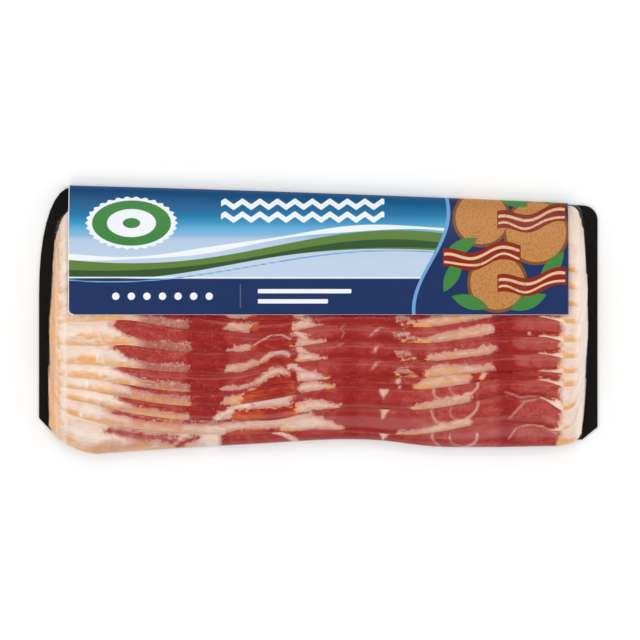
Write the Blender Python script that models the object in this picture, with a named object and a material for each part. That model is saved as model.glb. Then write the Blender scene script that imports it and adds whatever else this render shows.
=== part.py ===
"""A flat vacuum pack of thick bacon slices, lying on its back with the shown side up.

Frame: metres. X runs along the slices, from the pack's left end to its right end. Y runs across
them, from the open lower edge to the edge where the printed flap folds over. Z is up, away from
the backing board. The origin is the middle of the pack's footprint, on the board's underside.

Three pieces, as the real pack is put together:
  backing_board  the black card that the slices lie on, with its unequal corners
  sealed_bacon   the overlapping slices with the clear film drawn tight over them, as one solid
  printed_flap   the card that lies on the upper half and folds down over the top edge
"""

import bmesh
import bpy
import numpy as np

# Driving dimensions, in metres
PACK_LENGTH = 0.288
BOARD_THICKNESS = 0.0008
GAP = 0.0003

# The fold line along the top: its height at the middle, its fall to the right and its bow
FOLD_MIDDLE = 0.06444
FOLD_FALL = 0.0355
FOLD_BOW = 0.0008

# The board's corners: how far each reaches along X and along Y
TOP_LEFT_REACH = (0.0175, 0.0560)
TOP_LEFT_POWER = 2.2
TOP_RIGHT_REACH = (0.0078, 0.0075)
BOTTOM_LEFT_CHAMFER = (0.0062, 0.0065)
BOTTOM_RIGHT_CHAMFER = (0.0080, 0.0065)
BOARD_BOTTOM_LEFT = -0.0572
BOARD_BOTTOM_RIGHT = -0.0619

# The slices: rounded ends bow in a little from straight lines, and the block stops under the flap
BLOCK_LEFT = -0.1394
BLOCK_RIGHT = 0.1394
LEFT_BOW = (0.0034, -0.028, 0.073)
RIGHT_BOW = (0.0033, 0.002, 0.060)
BLOCK_TOP = 0.0590
BLOCK_HEIGHT = 0.0166
RIM_HEIGHT = 0.0022
END_REACH = 0.0085
BOTTOM_REACH = 0.0290
TOP_REACH = 0.0300
END_POWER = 2.35
SLOPE_POWER = 1.5

# The lower edge of the whole block, which sags at the left and rises right of the middle
WAVE_STATIONS = (-0.115, -0.087, -0.038, 0.032, 0.063, 0.093, 0.124)
WAVE_PLACES = (-0.0692, -0.0672, -0.0644, -0.0621, -0.0654, -0.0657, -0.0652)
LOWER_LEFT_CORNER = (0.0244, 0.0142, 1.6)
LOWER_RIGHT_CORNER = (0.0154, 0.0060, 2.0)
UPPER_LEFT_CORNER = (0.0110, 0.0140, 2.0)
UPPER_RIGHT_CORNER = (0.0050, 0.0064, 2.0)

# Where each shown slice's lower edge lies, from the second slice up: the fan is uneven. The slices
# under the flap follow at even steps.
EDGE_STATIONS = (-0.1229, -0.0765, -0.0239, 0.0009, 0.0860, 0.1298)
SHOWN_EDGES = (
    (-0.0528, -0.0585, -0.0582, -0.0567, -0.0544, -0.0595),
    (-0.0435, -0.0513, -0.0518, -0.0466, -0.0420, -0.0471),
    (-0.0368, -0.0440, -0.0409, -0.0363, -0.0322, -0.0342),
    (-0.0306, -0.0368, -0.0337, -0.0311, -0.0275, -0.0270),
    (-0.0234, -0.0270, -0.0239, -0.0208, -0.0188, -0.0193),
    (-0.0136, -0.0162, -0.0162, -0.0121, -0.0090, -0.0110),
    (-0.0012, -0.0048, -0.0077, -0.0033, -0.0002, -0.0012),
)
HIDDEN_SLICES = 3
HIDDEN_STEP = 0.0088
STEP_HEIGHT = 0.0022
NOSE_LENGTH = 0.0020
NOSE_BEND = 0.35

# The printed flap
FLAP_HALF_LENGTH = 0.1285
FLAP_BOTTOM = 0.0025
FLAP_THICKNESS = 0.00045
FLAP_CORNER = 0.0028
FLAP_CLEARANCE = 0.0005
FLAP_DROP_START = 0.0300
FLAP_END_HEIGHT = 0.0040

# How finely the curved faces are divided
MIDDLE_COLUMNS = 34
END_STEPS = (0.0, 0.0003, 0.0010, 0.0022, 0.0040, 0.0063, 0.0090)
FIRST_STRIP = (0.0, 0.04, 0.12, 0.26, 0.46, 0.72)
LAST_STRIP = (0.0, 0.055, 0.30, 0.52, 0.70, 0.83, 0.92, 0.97, 0.99, 1.0)
FLAP_COLUMNS = 26
FLAP_LEVEL_STEPS = (0.0, 0.0004, 0.0012, FLAP_CORNER, 0.010, 0.018, 0.0265)
FLAP_FALL_ROWS = 13
CORNER_POINTS = 10

# Colour, roughness and metallic value of each piece
FINISHES = {
    "backing_board": ((0.010, 0.008, 0.007), 0.45, 0.0),
    "sealed_bacon": ((0.42, 0.10, 0.08), 0.20, 0.0),
    "printed_flap": ((0.022, 0.048, 0.145), 0.35, 0.0),
}


def smooth_line(x, stations, values):
    """A smooth curve through a few stations: cubic pieces whose slopes follow the neighbours."""
    s = np.asarray(stations)
    v = np.asarray(values)
    slopes = np.gradient(v, s)
    x = np.clip(x, s[0], s[-1])
    i = np.clip(np.searchsorted(s, x) - 1, 0, len(s) - 2)
    width = s[i + 1] - s[i]
    t = (x - s[i]) / width
    start = (1 + 2 * t) * (1 - t) ** 2 * v[i] + t * (1 - t) ** 2 * width * slopes[i]
    end = t * t * (3 - 2 * t) * v[i + 1] + t * t * (t - 1) * width * slopes[i + 1]
    return start + end


def corner_drop(distance, corner):
    """How far a corner pulls an edge in, at a distance from its end: a superellipse quarter."""
    reach_x, reach_y, power = corner
    t = np.clip(1 - distance / reach_x, 0.0, 1.0)
    return reach_y * (1 - (1 - t**power) ** (1 / power))


def fold_line(x):
    """The pack's top edge, where the flap folds: a sloping line with a slight bow."""
    half = PACK_LENGTH / 2
    return FOLD_MIDDLE - FOLD_FALL * x + FOLD_BOW * (1 - (x / half) ** 2)


def shoulder(distance, reach, power):
    """0 at an edge and 1 past its reach, rounded as a superellipse."""
    t = np.clip(1 - distance / reach, 0.0, 1.0)
    return (1 - t**power) ** (1 / power)


def block_bottom(x):
    """The lower edge of the block of slices, before its corners are rounded."""
    return smooth_line(x, WAVE_STATIONS, WAVE_PLACES)


def block_height(x, y):
    """Height of the block's smooth envelope above its base, without the steps of the slices."""
    left = shoulder(x - left_end(y), END_REACH, END_POWER)
    right = shoulder(right_end(y) - x, END_REACH, END_POWER)
    bottom = shoulder(y - lower_outline(x), BOTTOM_REACH, SLOPE_POWER)
    top = shoulder(upper_outline(x) - y, TOP_REACH, SLOPE_POWER)
    return RIM_HEIGHT + (BLOCK_HEIGHT - RIM_HEIGHT) * left * right * bottom * top


def left_end(y):
    """The block's left end: a shallow parabola."""
    depth, centre, span = LEFT_BOW
    return BLOCK_LEFT + depth * ((y - centre) / span) ** 2


def right_end(y):
    """The block's right end: a shallow parabola."""
    depth, centre, span = RIGHT_BOW
    return BLOCK_RIGHT - depth * ((y - centre) / span) ** 2


def lower_outline(x):
    """The block's lower edge with its two corners."""
    left = corner_drop(x - BLOCK_LEFT, LOWER_LEFT_CORNER)
    right = corner_drop(BLOCK_RIGHT - x, LOWER_RIGHT_CORNER)
    return block_bottom(x) + left + right


def upper_outline(x):
    """The block's upper edge with its two corners."""
    left = corner_drop(x - BLOCK_LEFT, UPPER_LEFT_CORNER)
    right = corner_drop(BLOCK_RIGHT - x, UPPER_RIGHT_CORNER)
    return BLOCK_TOP - left - right


def slice_edges(x):
    """The lower edges of all slices at the places x, then the block's top: one row for each."""
    shown = [smooth_line(x, EDGE_STATIONS, places) for places in SHOWN_EDGES]
    hidden = [shown[-1] + HIDDEN_STEP * (n + 1) for n in range(HIDDEN_SLICES)]
    return np.array([block_bottom(x), *shown, *hidden, np.full_like(x, BLOCK_TOP)])


def columns():
    """Places along X, close together at the two rounded ends."""
    left = [BLOCK_LEFT + step for step in END_STEPS]
    right = [BLOCK_RIGHT - step for step in reversed(END_STEPS)]
    middle = np.linspace(left[-1], right[0], MIDDLE_COLUMNS + 2)[1:-1]
    return np.array([*left, *middle, *right])


def block_surface():
    """The top of the block as rows of points, bottom to top, that follow the slices' edges."""
    x = columns()
    edges = slice_edges(x)
    last = len(edges) - 2
    rows = []
    for k in range(last + 1):
        nose = NOSE_LENGTH / (edges[k + 1] - edges[k])
        if k == 0:
            places = [np.full_like(x, f) for f in FIRST_STRIP]
        elif k == last:
            places = [np.full_like(x, f) for f in LAST_STRIP]
        else:
            places = [np.zeros_like(x), NOSE_BEND * nose, nose, (1 + nose) / 2]
        rise = 0.0 if k == 0 else 1.0
        fall = 0.0 if k == last else 1.0
        for f in places:
            rows.append(strip_points(x, edges, k, f, nose, rise, fall))
    return np.array(rows)


def strip_points(x, edges, k, f, nose, rise, fall):
    """Points at the fraction f of slice k's bare strip, which rounds up from its lower edge over its
    nose and then falls away to the next slice. rise and fall say if the strip has each of them."""
    plain = (edges[k] + f * (edges[k + 1] - edges[k]) - edges[0]) / (edges[-1] - edges[0])
    low = lower_outline(x)
    y = low + plain * (upper_outline(x) - low)
    share = (x - BLOCK_LEFT) / (BLOCK_RIGHT - BLOCK_LEFT)
    placed = left_end(y) + share * (right_end(y) - left_end(y))
    foot = 1 - np.sqrt(1 - np.clip(1 - f / nose, 0.0, 1.0) ** 2)
    slope = np.clip((f - nose) / (1 - nose), 0.0, 1.0)
    depth = STEP_HEIGHT * (rise * foot + fall * slope)
    height = block_height(placed, y)
    inside = np.clip((height - RIM_HEIGHT) / (BLOCK_HEIGHT - RIM_HEIGHT), 0.0, 1.0)
    z = BOARD_THICKNESS + GAP + height - depth * inside
    return np.stack([placed, y, z], axis=-1)


def flap_surface():
    """The underside of the flap as rows of points: over the slices, then down to the fold line."""
    level = BOARD_THICKNESS + GAP + BLOCK_HEIGHT + FLAP_CLEARANCE
    rows = []
    for step in FLAP_LEVEL_STEPS:
        inset = FLAP_CORNER - np.sqrt(FLAP_CORNER**2 - max(FLAP_CORNER - step, 0.0) ** 2)
        x = np.linspace(-FLAP_HALF_LENGTH + inset, FLAP_HALF_LENGTH, FLAP_COLUMNS)
        rows.append(np.stack([x, np.full_like(x, FLAP_BOTTOM + step), np.full_like(x, level)], axis=-1))
    x = np.linspace(-FLAP_HALF_LENGTH, FLAP_HALF_LENGTH, FLAP_COLUMNS)
    end = fold_line(x) - FLAP_THICKNESS
    for angle in np.linspace(0.0, np.pi / 2, FLAP_FALL_ROWS + 1)[1:]:
        along = np.sin(angle) ** (2 / SLOPE_POWER)
        left = np.cos(angle) ** (2 / SLOPE_POWER)
        y = FLAP_DROP_START + (end - FLAP_DROP_START) * along
        z = np.full_like(x, FLAP_END_HEIGHT + (level - FLAP_END_HEIGHT) * left)
        rows.append(np.stack([x, y, z], axis=-1))
    rows.append(np.stack([x, end, np.zeros_like(x)], axis=-1))
    return np.array(rows)


def board_outline():
    """The board's outline, anticlockwise from the upper end of its left side."""
    half = PACK_LENGTH / 2
    inset = FLAP_THICKNESS + GAP
    angles = np.linspace(0.0, np.pi / 2, CORNER_POINTS)
    reach_x, reach_y = TOP_LEFT_REACH
    centre_x = -half + reach_x
    corner_top = fold_line(centre_x) - inset
    centre_y = corner_top - reach_y
    x = centre_x - reach_x * np.cos(angles) ** (2 / TOP_LEFT_POWER)
    y = centre_y + reach_y * np.sin(angles) ** (2 / TOP_LEFT_POWER)
    points = list(zip(x, y))
    reach_x, reach_y = TOP_RIGHT_REACH
    for place in np.linspace(centre_x, half - reach_x, CORNER_POINTS)[1:-1]:
        points.append((place, fold_line(place) - inset))
    centre_x = half - reach_x
    centre_y = fold_line(centre_x) - inset - reach_y
    x = centre_x + reach_x * np.sin(angles)
    y = centre_y + reach_y * np.cos(angles)
    points.extend(zip(x, y))
    step_x, step_y = BOTTOM_RIGHT_CHAMFER
    points.append((half, BOARD_BOTTOM_RIGHT + step_y))
    points.append((half - step_x, BOARD_BOTTOM_RIGHT))
    step_x, step_y = BOTTOM_LEFT_CHAMFER
    points.append((-half + step_x, BOARD_BOTTOM_LEFT))
    points.append((-half, BOARD_BOTTOM_LEFT + step_y))
    return points[::-1]


def material(name):
    """A Principled material with the piece's own colour, roughness and metallic value."""
    colour, roughness, metallic = FINISHES[name]
    made = bpy.data.materials.new(name)
    made.use_nodes = True
    shader = made.node_tree.nodes["Principled BSDF"]
    shader.inputs["Base Color"].default_value = (*colour, 1.0)
    shader.inputs["Roughness"].default_value = roughness
    shader.inputs["Metallic"].default_value = metallic
    return made


def grid(shape, rows):
    """Adds a sheet of four-sided faces through rows of points, and gives its faces."""
    verts = [[shape.verts.new(point) for point in row] for row in rows]
    faces = []
    for low, high in zip(verts, verts[1:]):
        for i in range(len(low) - 1):
            faces.append(shape.faces.new((low[i], low[i + 1], high[i + 1], high[i])))
    return faces


def finished(name, shape):
    """Makes an object with its material from a bmesh, shaded smooth with its sharp edges kept."""
    mesh = bpy.data.meshes.new(name)
    shape.to_mesh(mesh)
    shape.free()
    mesh.shade_smooth()
    mesh.set_sharp_from_angle(angle=np.radians(35))
    mesh.materials.append(material(name))
    made = bpy.data.objects.new(name, mesh)
    bpy.context.scene.collection.objects.link(made)
    return made


def backing_board():
    """The black card: its outline, raised to its thickness."""
    shape = bmesh.new()
    face = shape.faces.new([shape.verts.new((x, y, 0.0)) for x, y in board_outline()])
    raised = bmesh.ops.extrude_face_region(shape, geom=[face])
    lifted = [v for v in raised["geom"] if isinstance(v, bmesh.types.BMVert)]
    bmesh.ops.translate(shape, verts=lifted, vec=(0.0, 0.0, BOARD_THICKNESS))
    bmesh.ops.recalc_face_normals(shape, faces=shape.faces)
    return finished("backing_board", shape)


def sealed_bacon():
    """The block of slices: its stepped top, with walls down to its base and a flat underside."""
    shape = bmesh.new()
    grid(shape, block_surface())
    border = [edge for edge in shape.edges if edge.is_boundary]
    walls = bmesh.ops.extrude_edge_only(shape, edges=border)
    for vert in [v for v in walls["geom"] if isinstance(v, bmesh.types.BMVert)]:
        vert.co.z = BOARD_THICKNESS + GAP
    border = [edge for edge in shape.edges if edge.is_boundary]
    bmesh.ops.edgeloop_fill(shape, edges=border)
    bmesh.ops.recalc_face_normals(shape, faces=shape.faces)
    return finished("sealed_bacon", shape)


def printed_flap():
    """The folded card: one sheet, thickened outwards by a Solidify modifier."""
    shape = bmesh.new()
    grid(shape, flap_surface())
    made = finished("printed_flap", shape)
    wall = made.modifiers.new("card", "SOLIDIFY")
    wall.thickness = FLAP_THICKNESS
    wall.offset = 1.0
    wall.use_even_offset = True
    return made


def main():
    """Clears the scene and builds the three pieces under one empty."""
    for old in list(bpy.data.objects):
        bpy.data.objects.remove(old)
    pack = bpy.data.objects.new("bacon_pack", None)
    bpy.context.scene.collection.objects.link(pack)
    for piece in (backing_board(), sealed_bacon(), printed_flap()):
        piece.parent = pack


main()
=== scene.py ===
"""Looks of a flat vacuum pack of thick bacon slices, seen from straight above.

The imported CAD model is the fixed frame. Sizes here are in millimetres and turn into metres when a
mesh is made. X runs along the slices, Y from the open lower edge to the folded top edge, Z is up.
"""

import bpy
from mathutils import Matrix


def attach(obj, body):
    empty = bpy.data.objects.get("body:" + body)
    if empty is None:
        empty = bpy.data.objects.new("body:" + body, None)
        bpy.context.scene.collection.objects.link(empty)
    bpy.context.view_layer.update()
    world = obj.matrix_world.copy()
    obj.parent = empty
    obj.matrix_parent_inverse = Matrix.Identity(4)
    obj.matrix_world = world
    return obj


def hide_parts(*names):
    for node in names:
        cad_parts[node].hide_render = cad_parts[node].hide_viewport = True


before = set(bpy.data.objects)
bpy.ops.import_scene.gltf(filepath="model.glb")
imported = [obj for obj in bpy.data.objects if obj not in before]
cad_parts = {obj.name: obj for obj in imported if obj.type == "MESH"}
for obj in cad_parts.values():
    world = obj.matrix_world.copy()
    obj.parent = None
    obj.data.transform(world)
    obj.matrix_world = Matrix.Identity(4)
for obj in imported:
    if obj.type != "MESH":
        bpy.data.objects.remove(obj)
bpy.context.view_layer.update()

import logging
from dataclasses import dataclass
from enum import Enum
from typing import Optional, Sequence, Union

import bmesh
import bpy
import numpy as np

log = logging.getLogger("bacon_pack")

MM = 0.001
SLICES = 11
SHOWN = 8


class Tissue(Enum):
    """What a mark on a slice is made of."""

    FAT = "fat"
    LEAN = "lean"


class Share(Enum):
    """The fields that a slice's material reads as shares, by their attribute's name."""

    SMOKE = "smoke"
    DARK = "dark"
    CREAM = "cream"
    # Pale connective lines, and one painted glint line at the left end.
    VEIN_AND_GLINT = "vein_and_glint"
    BLEND = "blend"
    # Painted highlight: near-white colour where the film's gloss and the fat's sheen would show.
    PAINTED_HIGHLIGHT = "painted_highlight"


def smooth_line(x: np.ndarray, stations: Sequence[float], values: Sequence[float]) -> np.ndarray:
    """A smooth curve through a few stations: cubic pieces whose slopes follow the neighbours.

    Args:
        x: Places where the curve is read.
        stations: Places of the given values, rising.
        values: The curve's values at the stations.

    Returns:
        The curve's values at x, held constant past both ends.
    """
    s = np.asarray(stations, dtype=float)
    v = np.asarray(values, dtype=float)
    slopes = np.gradient(v, s)
    x = np.clip(x, s[0], s[-1])
    i = np.clip(np.searchsorted(s, x) - 1, 0, len(s) - 2)
    width = s[i + 1] - s[i]
    t = (x - s[i]) / width
    start = (1 + 2 * t) * (1 - t) ** 2 * v[i] + t * (1 - t) ** 2 * width * slopes[i]
    end = t * t * (3 - 2 * t) * v[i + 1] + t * t * (t - 1) * width * slopes[i + 1]
    return start + end


def smoothstep(value: np.ndarray, low: float, high: float) -> np.ndarray:
    """0 below low, 1 above high, and an S-shaped cubic between them."""
    t = np.clip((value - low) / (high - low), 0.0, 1.0)
    return t * t * (3 - 2 * t)


def ripple(x: np.ndarray, y: np.ndarray, size: float, seed: int) -> np.ndarray:
    """A smooth random field between -1 and 1: a seeded table of values, blended by cubic steps.

    Args:
        x: First coordinate in millimetres.
        y: Second coordinate in millimetres.
        size: Distance between two values of the table.
        seed: Seed of the table.

    Returns:
        The field at every point.
    """
    table = np.random.default_rng(seed).uniform(-1.0, 1.0, (97, 97))
    u = np.asarray(x, dtype=float) / size + 31.7
    v = np.asarray(y, dtype=float) / size + 17.3
    i = np.floor(u).astype(int)
    j = np.floor(v).astype(int)
    a = smoothstep(u - i, 0.0, 1.0)
    b = smoothstep(v - j, 0.0, 1.0)
    i, j = i % 96, j % 96
    low = table[i, j] * (1 - a) + table[i + 1, j] * a
    high = table[i, j + 1] * (1 - a) + table[i + 1, j + 1] * a
    return low * (1 - b) + high * b


@dataclass(frozen=True)
class PackForm:
    """The pack's driving sizes in millimetres, and the curves and heights worked out from them."""

    length: float = 288.0
    board: float = 0.8
    gap: float = 0.3
    fold: tuple = (64.44, -0.0355, 0.8)
    block_left: float = -139.4
    block_right: float = 139.4
    left_bow: tuple = (3.4, -28.0, 73.0)
    right_bow: tuple = (3.3, 2.0, 60.0)
    block_top: float = 59.0
    block_height: float = 16.6
    rim: float = 2.2
    end_reach: float = 8.5
    bottom_reach: float = 29.0
    top_reach: float = 30.0
    end_power: float = 2.35
    slope_power: float = 1.5
    wave_stations: tuple = (-115.0, -87.0, -38.0, 32.0, 63.0, 93.0, 124.0)
    wave_places: tuple = (-69.2, -67.2, -64.4, -62.1, -65.4, -65.7, -65.2)
    corners: tuple = ((24.4, 14.2, 1.6), (15.4, 6.0, 2.0), (11.0, 14.0, 2.0), (5.0, 6.4, 2.0))
    corner_fade: tuple = (5, 3)
    step: float = 1.6
    nose: float = 2.8
    hidden_slope: float = 0.5
    film_gap: float = 0.25
    edge_stations: tuple = (-122.9, -104.8, -76.5, -40.4, -23.9, 0.9, 62.8, 86.0, 98.0, 110.0, 121.5, 132.5)
    edges: tuple = (
        (-52.8, -55.4, -58.5, -59.0, -58.2, -56.7, -58.5, -54.4, -52.6, -53.6, -54.4, -59.5),
        (-43.5, -47.4, -51.3, -51.7, -51.8, -46.6, -45.8, -42.0, -39.8, -41.2, -40.6, -47.3),
        (-36.8, -39.9, -44.0, -43.3, -40.9, -36.3, -35.3, -32.2, -30.6, -31.4, -31.4, -34.8),
        (-30.6, -33.0, -36.8, -36.1, -33.7, -31.1, -29.3, -27.5, -26.4, -26.9, -26.7, -27.8),
        (-23.4, -24.4, -27.0, -27.0, -23.9, -20.8, -21.3, -18.8, -17.6, -18.1, -17.8, -20.0),
        (-13.6, -13.1, -16.2, -16.6, -16.2, -12.1, -11.8, -9.0, -8.2, -8.9, -8.9, -11.6),
        (-1.2, -0.2, -4.2, -6.7, -7.7, -3.3, -3.6, -0.2, 1.7, 1.3, 1.1, -1.8),
        (7.6, 8.4, 5.0, 0.2, -0.4, 3.4, 5.2, 8.4, 10.1, 9.8, 9.7, 7.2),
        (16.4, 17.2, 14.0, 10.9, 9.9, 14.3, 14.0, 17.2, 18.9, 18.6, 18.5, 16.0),
        (25.2, 26.0, 22.8, 19.7, 18.7, 23.1, 22.8, 26.0, 27.7, 27.4, 27.3, 25.0),
    )

    def fold_line(self, x: np.ndarray) -> np.ndarray:
        """The folded top edge: a sloping line with a slight bow."""
        middle, fall, bow = self.fold
        return middle + fall * x + bow * (1 - (2 * x / self.length) ** 2)

    def shoulder(self, distance: np.ndarray, reach: float, power: float) -> np.ndarray:
        """0 at an edge and 1 past its reach, rounded as a superellipse."""
        t = np.clip(1 - distance / reach, 0.0, 1.0)
        return (1 - t**power) ** (1 / power)

    def end_place(self, ratio: np.ndarray) -> np.ndarray:
        """How far inside the end the rounded wall reaches a height ratio: the shoulder's inverse."""
        share = np.clip(ratio, 0.0, 1.0) ** self.end_power
        return self.end_reach * (1 - (1 - share) ** (1 / self.end_power))

    def left_end(self, y: np.ndarray) -> np.ndarray:
        """The block's left end: a shallow parabola."""
        depth, centre, span = self.left_bow
        return self.block_left + depth * ((y - centre) / span) ** 2

    def right_end(self, y: np.ndarray) -> np.ndarray:
        """The block's right end: a shallow parabola."""
        depth, centre, span = self.right_bow
        return self.block_right - depth * ((y - centre) / span) ** 2

    def corner_drop(self, x: np.ndarray, left: int) -> np.ndarray:
        """How far two corners pull an edge in, each along a superellipse from its end of the block.

        Args:
            x: Nominal places along X.
            left: Number of the edge's left corner. The right one is the next.

        Returns:
            The sum of both pulls.
        """
        drop = 0.0
        for distance, corner in ((x - self.block_left, left), (self.block_right - x, left + 1)):
            reach_x, reach_y, power = self.corners[corner]
            t = np.clip(1 - distance / reach_x, 0.0, 1.0)
            drop = drop + reach_y * (1 - (1 - t**power) ** (1 / power))
        return drop

    def lower_outline(self, x: np.ndarray) -> np.ndarray:
        """The block's lower edge with its two corners."""
        return smooth_line(x, self.wave_stations, self.wave_places) + self.corner_drop(x, 0)

    def upper_outline(self, x: np.ndarray) -> np.ndarray:
        """The block's upper edge with its two corners."""
        return self.block_top - self.corner_drop(x, 2)

    def foot(self, k: int, x: np.ndarray) -> np.ndarray:
        """The lower edge of a slice before the block's corners are rounded.

        Args:
            k: Number of the slice, 0 at the bottom.
            x: Places along X.

        Returns:
            Y of the edge, or of the block's top for k past the last slice.
        """
        if k == 0:
            return smooth_line(x, self.wave_stations, self.wave_places)
        if k >= SLICES:
            return np.full_like(x, self.block_top)
        return smooth_line(x, self.edge_stations, self.edges[k - 1])

    def placed(self, x: np.ndarray, y: np.ndarray) -> np.ndarray:
        """Moves points of the plain fan of slices to where the block's rounded corners leave them.

        Args:
            x: Places along X.
            y: Y in the plain fan.

        Returns:
            Real Y: each corner's pull fades with a power of the distance from its edge.
        """
        bottom = self.foot(0, x)
        share = np.clip((y - bottom) / (self.block_top - bottom), 0.0, 1.0)
        low = self.lower_outline(x) - bottom
        high = self.block_top - self.upper_outline(x)
        fade_low, fade_high = self.corner_fade
        return y + low * (1 - share) ** fade_low - high * share**fade_high

    def relief(self, x: np.ndarray, y: np.ndarray) -> np.ndarray:
        """How strong the slices' steps are.

        Args:
            x: Real X.
            y: Real Y.

        Returns:
            The step's height: full inside, less on the fat left end and weak on the end walls.
        """
        inside = np.minimum(x - self.left_end(y), self.right_end(y) - x)
        calm = 0.6 + 0.4 * smoothstep(x, -124.0, -98.0)
        return self.step * (0.3 + 0.7 * smoothstep(inside, 2.5, 11.0)) * calm

    def fullness(self, x: np.ndarray, y: np.ndarray, nominal: np.ndarray) -> np.ndarray:
        """How much of the block's height is reached at a point, from 0 at its rim to 1 inside.

        Args:
            x: Real X of the point.
            y: Real Y of the point.
            nominal: X of the point before the ends bow in.

        Returns:
            The product of the four rounded shoulders.
        """
        left = self.shoulder(x - self.left_end(y), self.end_reach, self.end_power)
        right = self.shoulder(self.right_end(y) - x, self.end_reach, self.end_power)
        bottom = self.shoulder(y - self.lower_outline(nominal), self.bottom_reach, self.slope_power)
        top = self.shoulder(self.upper_outline(nominal) - y, self.top_reach, self.slope_power)
        return left * right * bottom * top


FORM = PackForm()


def object_from_grid(name: str, points: np.ndarray, fields: Optional[dict] = None,
                     closed: bool = False) -> bpy.types.Object:
    """Makes an object from a grid of points in millimetres, with the grid's rows along X.

    Args:
        name: The object's name.
        points: Array of rows, columns and three coordinates.
        fields: Numbers for each point, by the name of the attribute that its material reads.
        closed: Whether the rows run round a slab: the last one joins the first, and the end columns
            close on themselves, row against mirrored row.

    Returns:
        The object, shaded smooth, at the origin.
    """
    rows, columns = points.shape[:2]
    index = np.arange(rows * columns).reshape(rows, columns)
    lower, upper = index[:-1], index[1:]
    if closed:
        mirrored = np.minimum(np.arange(rows), rows - 1 - np.arange(rows))
        index[:, [0, -1]] = index[mirrored][:, [0, -1]]
        lower, upper = index, np.roll(index, -1, axis=0)
    faces = np.stack([lower[:, :-1], lower[:, 1:], upper[:, 1:], upper[:, :-1]], axis=-1).reshape(-1, 4)
    used, packed = np.unique(faces, return_inverse=True)
    corners = [list(dict.fromkeys(face)) for face in packed.reshape(faces.shape).tolist()]
    corners = [face for face in corners if len(face) > 2]
    mesh = bpy.data.meshes.new(name)
    mesh.from_pydata((points.reshape(-1, 3)[used] * MM).tolist(), [], corners)
    mesh.update()
    mesh.shade_smooth()
    for field, values in (fields or {}).items():
        layer = mesh.attributes.new(field, "FLOAT", "POINT")
        layer.data.foreach_set("value", values.reshape(-1)[used].astype(np.float32))
    made = bpy.data.objects.new(name, mesh)
    bpy.context.scene.collection.objects.link(made)
    return made


class Wire:
    """One socket of a material's tree, or a number, with operators that add Math nodes."""

    def __init__(self, tree: "Tree", socket: bpy.types.NodeSocket) -> None:
        """Keeps the tree and the socket."""
        self.tree = tree
        self.socket = socket

    def _math(self, operation: str, *values: "Value") -> "Wire":
        """Adds one Math node on these values."""
        made = self.tree.node("ShaderNodeMath", {"operation": operation}, dict(enumerate(values)))
        return Wire(self.tree, made.outputs[0])

    def __add__(self, other: "Value") -> "Wire":
        """Sum."""
        return self._math("ADD", self, other)

    def __sub__(self, other: "Value") -> "Wire":
        """Difference."""
        return self._math("SUBTRACT", self, other)

    def __rsub__(self, other: "Value") -> "Wire":
        """Difference from a number."""
        return self._math("SUBTRACT", other, self)

    def __mul__(self, other: "Value") -> "Wire":
        """Product."""
        return self._math("MULTIPLY", self, other)

    __radd__ = __add__
    __rmul__ = __mul__

    def power(self, exponent: float) -> "Wire":
        """The value, raised to a power."""
        return self._math("POWER", self, exponent)

    def at_most(self, other: "Value") -> "Wire":
        """The smaller of two values."""
        return self._math("MINIMUM", self, other)

    def step(self, low: float, high: float) -> "Wire":
        """A smooth step of this value.

        Args:
            low: The value where the step starts.
            high: The value where it ends.

        Returns:
            0 below low, 1 above high, and smooth between them.
        """
        made = self.tree.node("ShaderNodeMapRange", {"interpolation_type": "SMOOTHSTEP"},
                              {0: self, 1: low, 2: high, 3: 0.0, 4: 1.0})
        return Wire(self.tree, made.outputs[0])


Value = Union[Wire, float]
Colour = Union[Wire, tuple]


def srgb(red: float, green: float, blue: float) -> tuple:
    """A linear colour from the values that it has on a screen.

    Args:
        red: Red, from 0 to 255.
        green: Green.
        blue: Blue.

    Returns:
        Red, green, blue and 1.
    """
    values = np.array([red, green, blue]) / 255.0
    linear = np.where(values <= 0.04045, values / 12.92, ((values + 0.055) / 1.055) ** 2.4)
    return (*linear.tolist(), 1.0)


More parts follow.
